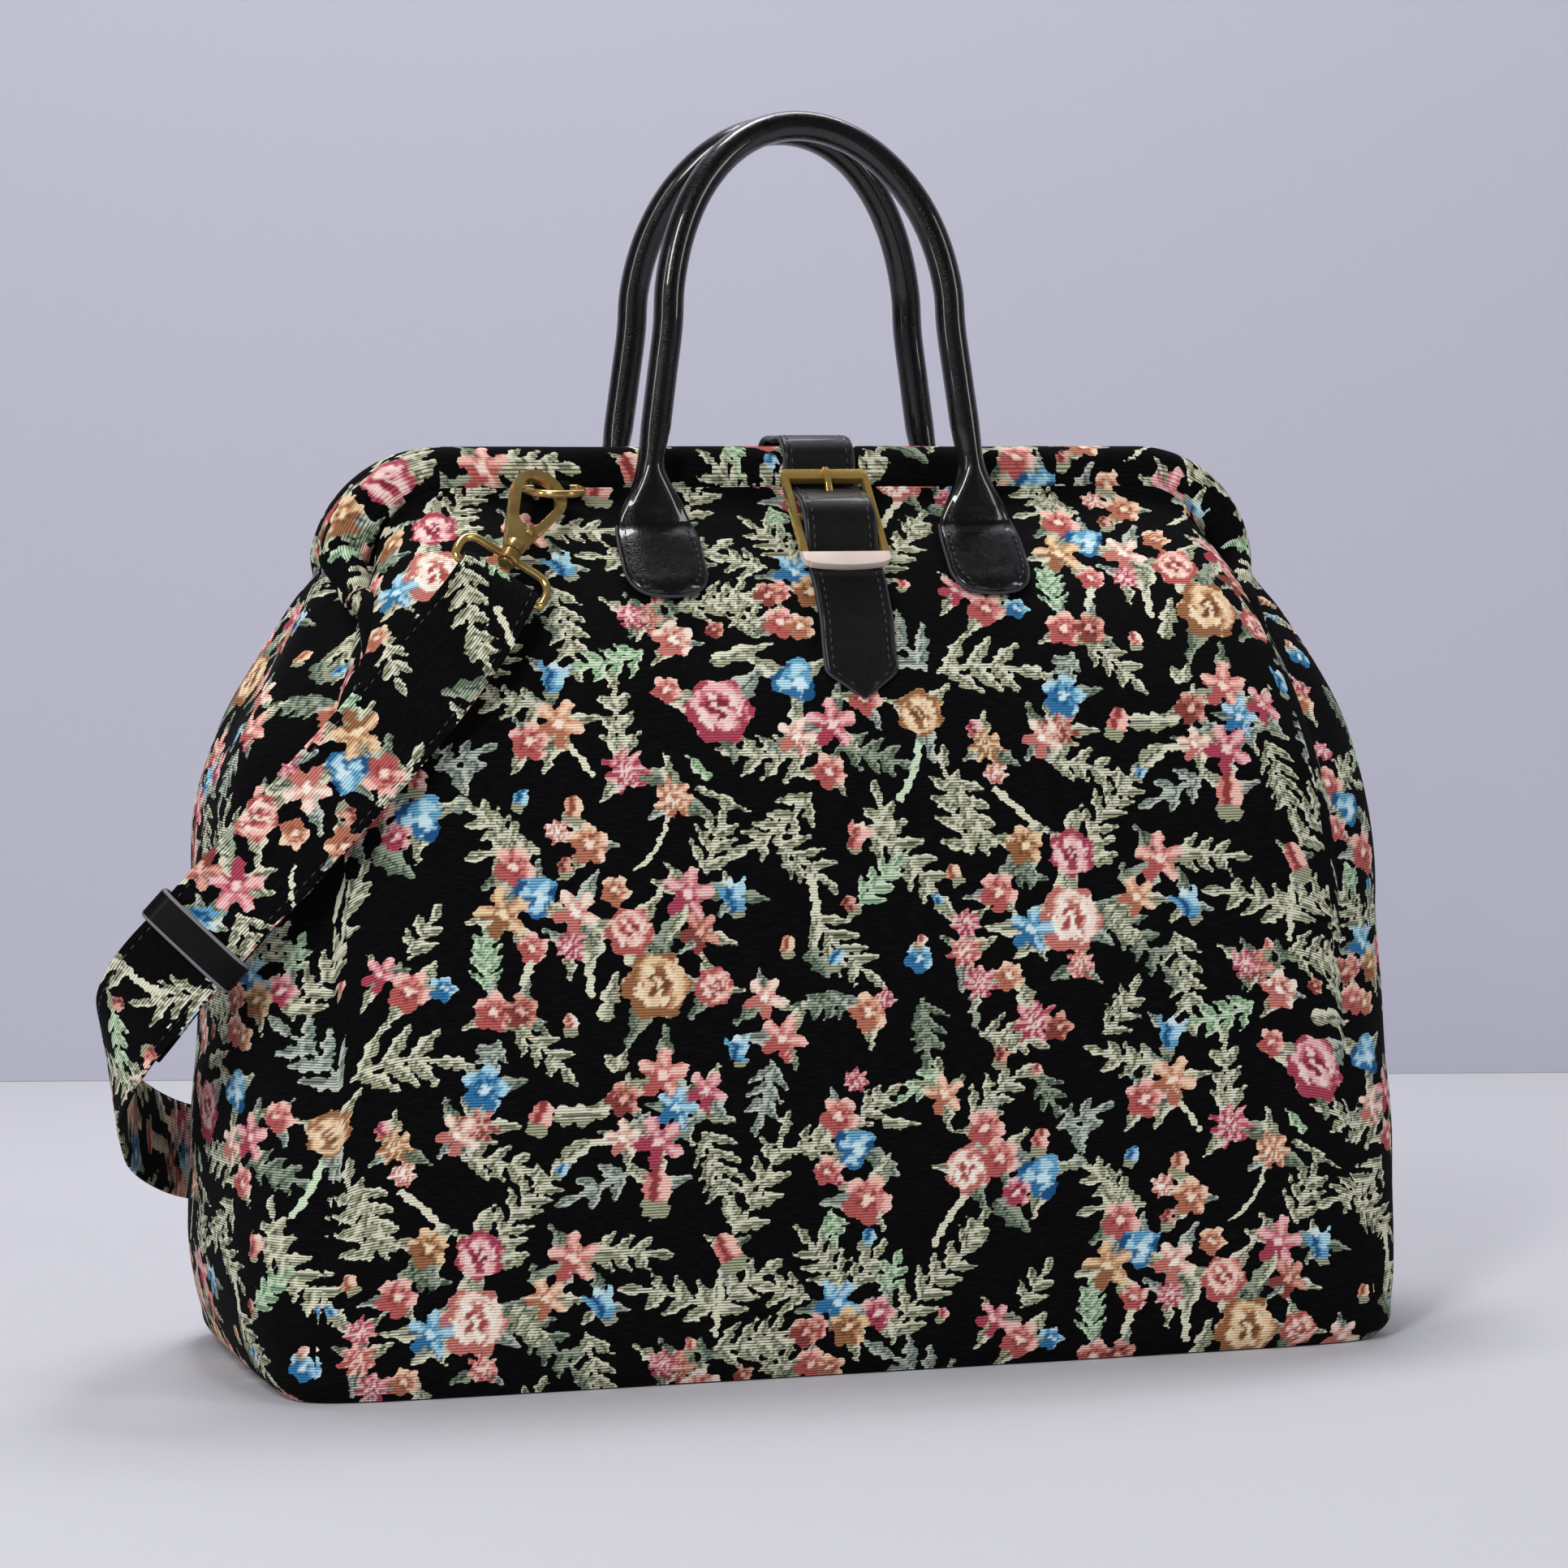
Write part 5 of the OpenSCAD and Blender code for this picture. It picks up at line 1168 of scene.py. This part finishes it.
hook = {"at": (-130.179, -55.034, 320.423), "up": (0.483801, 0.55428, 0.677281),
        "face": (0.233686, -0.827596, 0.510368), "span": 212, "half": 19.5, "top": -2.8, "drop": 16.5,
        "shoulder": 6.5, "bend": 2.6, "wire": 1.6, "barrel": (2.1, 4, -5.3, -0.3), "bevel": 0.5}

def makeLoop(end):                      # bent wire with the swivel's barrel
    up, back = np.array(hook["up"]), -np.array(hook["face"])
    turn = np.stack([np.cross(back, up), back, up], -1)
    flip, shift = ((1, 1, 1), (0, 0, 0)) if end == "a" else ((1, -1, 1), (hook["span"], 0, 0))
    place = lambda p: (np.array(hook["at"]) + np.asarray(p) @ turn.T) * flip + shift
    w, top, low, r, b = hook["half"], hook["top"], -hook["drop"], hook["shoulder"], hook["bend"]
    q = np.radians(np.linspace(0, 90, 7))
    side = [(3, 0, top), (8, 0, top), *((w - r + r * np.sin(k), 0, top - r + r * np.cos(k)) for k in q),
            *((w - b + b * np.cos(k), 0, low + b - b * np.sin(k)) for k in q), (6, 0, low), (0, 0, low)]
    line = side + [(-x, y, z) for x, y, z in side[-2::-1]]
    tube(f"hook_{end}_wire", place(line), hook["wire"], antique, "antique_brass", sides=14, step=0.8,
         node=f"hook_{end}_loop")
    inner, outer, foot, head = hook["barrel"]
    bevel = hook["bevel"]
    section = ((inner, foot), (outer - bevel, foot), (outer, foot + bevel), (outer, head - bevel),
               (outer - bevel, head), (inner, head))
    bm = bmesh.new()
    rim = [bm.verts.new((x * mm, 0, z * mm)) for x, z in section]
    edges = [bm.edges.new((rim[k - 1], rim[k])) for k in range(len(rim))]
    bmesh.ops.spin(bm, geom=rim + edges, cent=(0, 0, 0), axis=(0, 0, 1), angle=2 * math.pi, steps=36, use_merge=True)
    bmesh.ops.remove_doubles(bm, verts=bm.verts, dist=1e-6)
    for v in bm.verts:
        v.co = place(np.array(v.co) / mm) * mm
    bmesh.ops.recalc_face_normals(bm, faces=bm.faces)
    addPiece(f"hook_{end}_barrel", meshOf(f"hook_{end}_barrel", bm), antique, "antique_brass", sharp=35)

eased("buckle_frame", gold, "bag", 0.7, "gold")
eased("buckle_tongue", gold, "tongue", 0.5, "gold")
for end in ("a", "b"):
    eased(f"hook_{end}_body", antique, f"hook_{end}", 1.1, "antique_brass")
    eased(f"hook_{end}_gate", antique, f"gate_{end}", 0.8, "antique_brass")
    makeLoop(end)
    for node in (f"hook_{end}_rivet", f"d_ring_{end}"):
        dress(node, antique)
    dress(f"ring_tab_{end}", pile)
dress("lining", lining)
dress("base_board", board)
for node in ("front_frame", "back_frame", "frame_rivets"):
    dress(node, steel)
print("fittings dressed")


# stage

stage = {"floor": (196, 196, 202), "back": (186, 186, 200), "gap": 0.9, "wide": 6, "deep": 3.2, "high": 3,
         "drop": 0.0006}
glow = {"tint": (0.88, 0.88, 0.92, 1), "strength": 0.38, "mirrored": 0.31}

def plainFinish(name, tint):
    mat, net, put = finish(name, Roughness=0.95, Specular_IOR_Level=0.1)
    tone = tuple(c * 0.94 for c in tint[:3]) + (1,)
    put("Base Color", net.place().noise(900, 3, 0.6).blend(tone, tint))
    put("Alpha", 1 - net.node("NewGeometry", pick="Backfacing"))        # a sheet's back isn't drawn
    return mat

def makeStage():
    turn = Matrix.Rotation(math.radians(view["turn"]), 4, "Z")
    lie = Matrix.Translation((0, stage["gap"] - stage["deep"], -stage["drop"]))
    stand = Matrix.Translation((0, stage["gap"], stage["high"])) @ Matrix.Rotation(math.pi / 2, 4, "X")
    for name, high, place in (("floor", stage["deep"], lie), ("back", stage["high"], stand)):
        size = Matrix.Diagonal((stage["wide"], high, 1, 1))
        bm = bmesh.new()
        bmesh.ops.create_grid(bm, x_segments=1, y_segments=1, size=1, matrix=turn @ place @ size)
        mesh = meshOf(name, bm)
        obj = bpy.data.objects.new(name, mesh)
        bpy.context.collection.objects.link(obj)
        mesh.materials.append(plainFinish(name + "Felt", srgb(*stage[name])))
        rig.stage(obj)

def makeWorld():
    world = bpy.data.worlds.new("studio")
    bpy.context.scene.world = world
    world.use_nodes = True
    sky, lamp = Tone(world.node_tree), world.node_tree.nodes["Background"].inputs
    mirrored = sky.node("LightPath", pick="Is Glossy Ray")
    sky.feed(lamp["Strength"], glow["strength"] - mirrored * glow["mirrored"])
    sky.feed(lamp["Color"], glow["tint"])

makeStage()
makeWorld()
print("stage set")

with open("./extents.json", "w") as sizes:
    json.dump({"cad": cadBox, "visual": [[float(x) for x in corner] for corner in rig.bounds()]}, sizes)
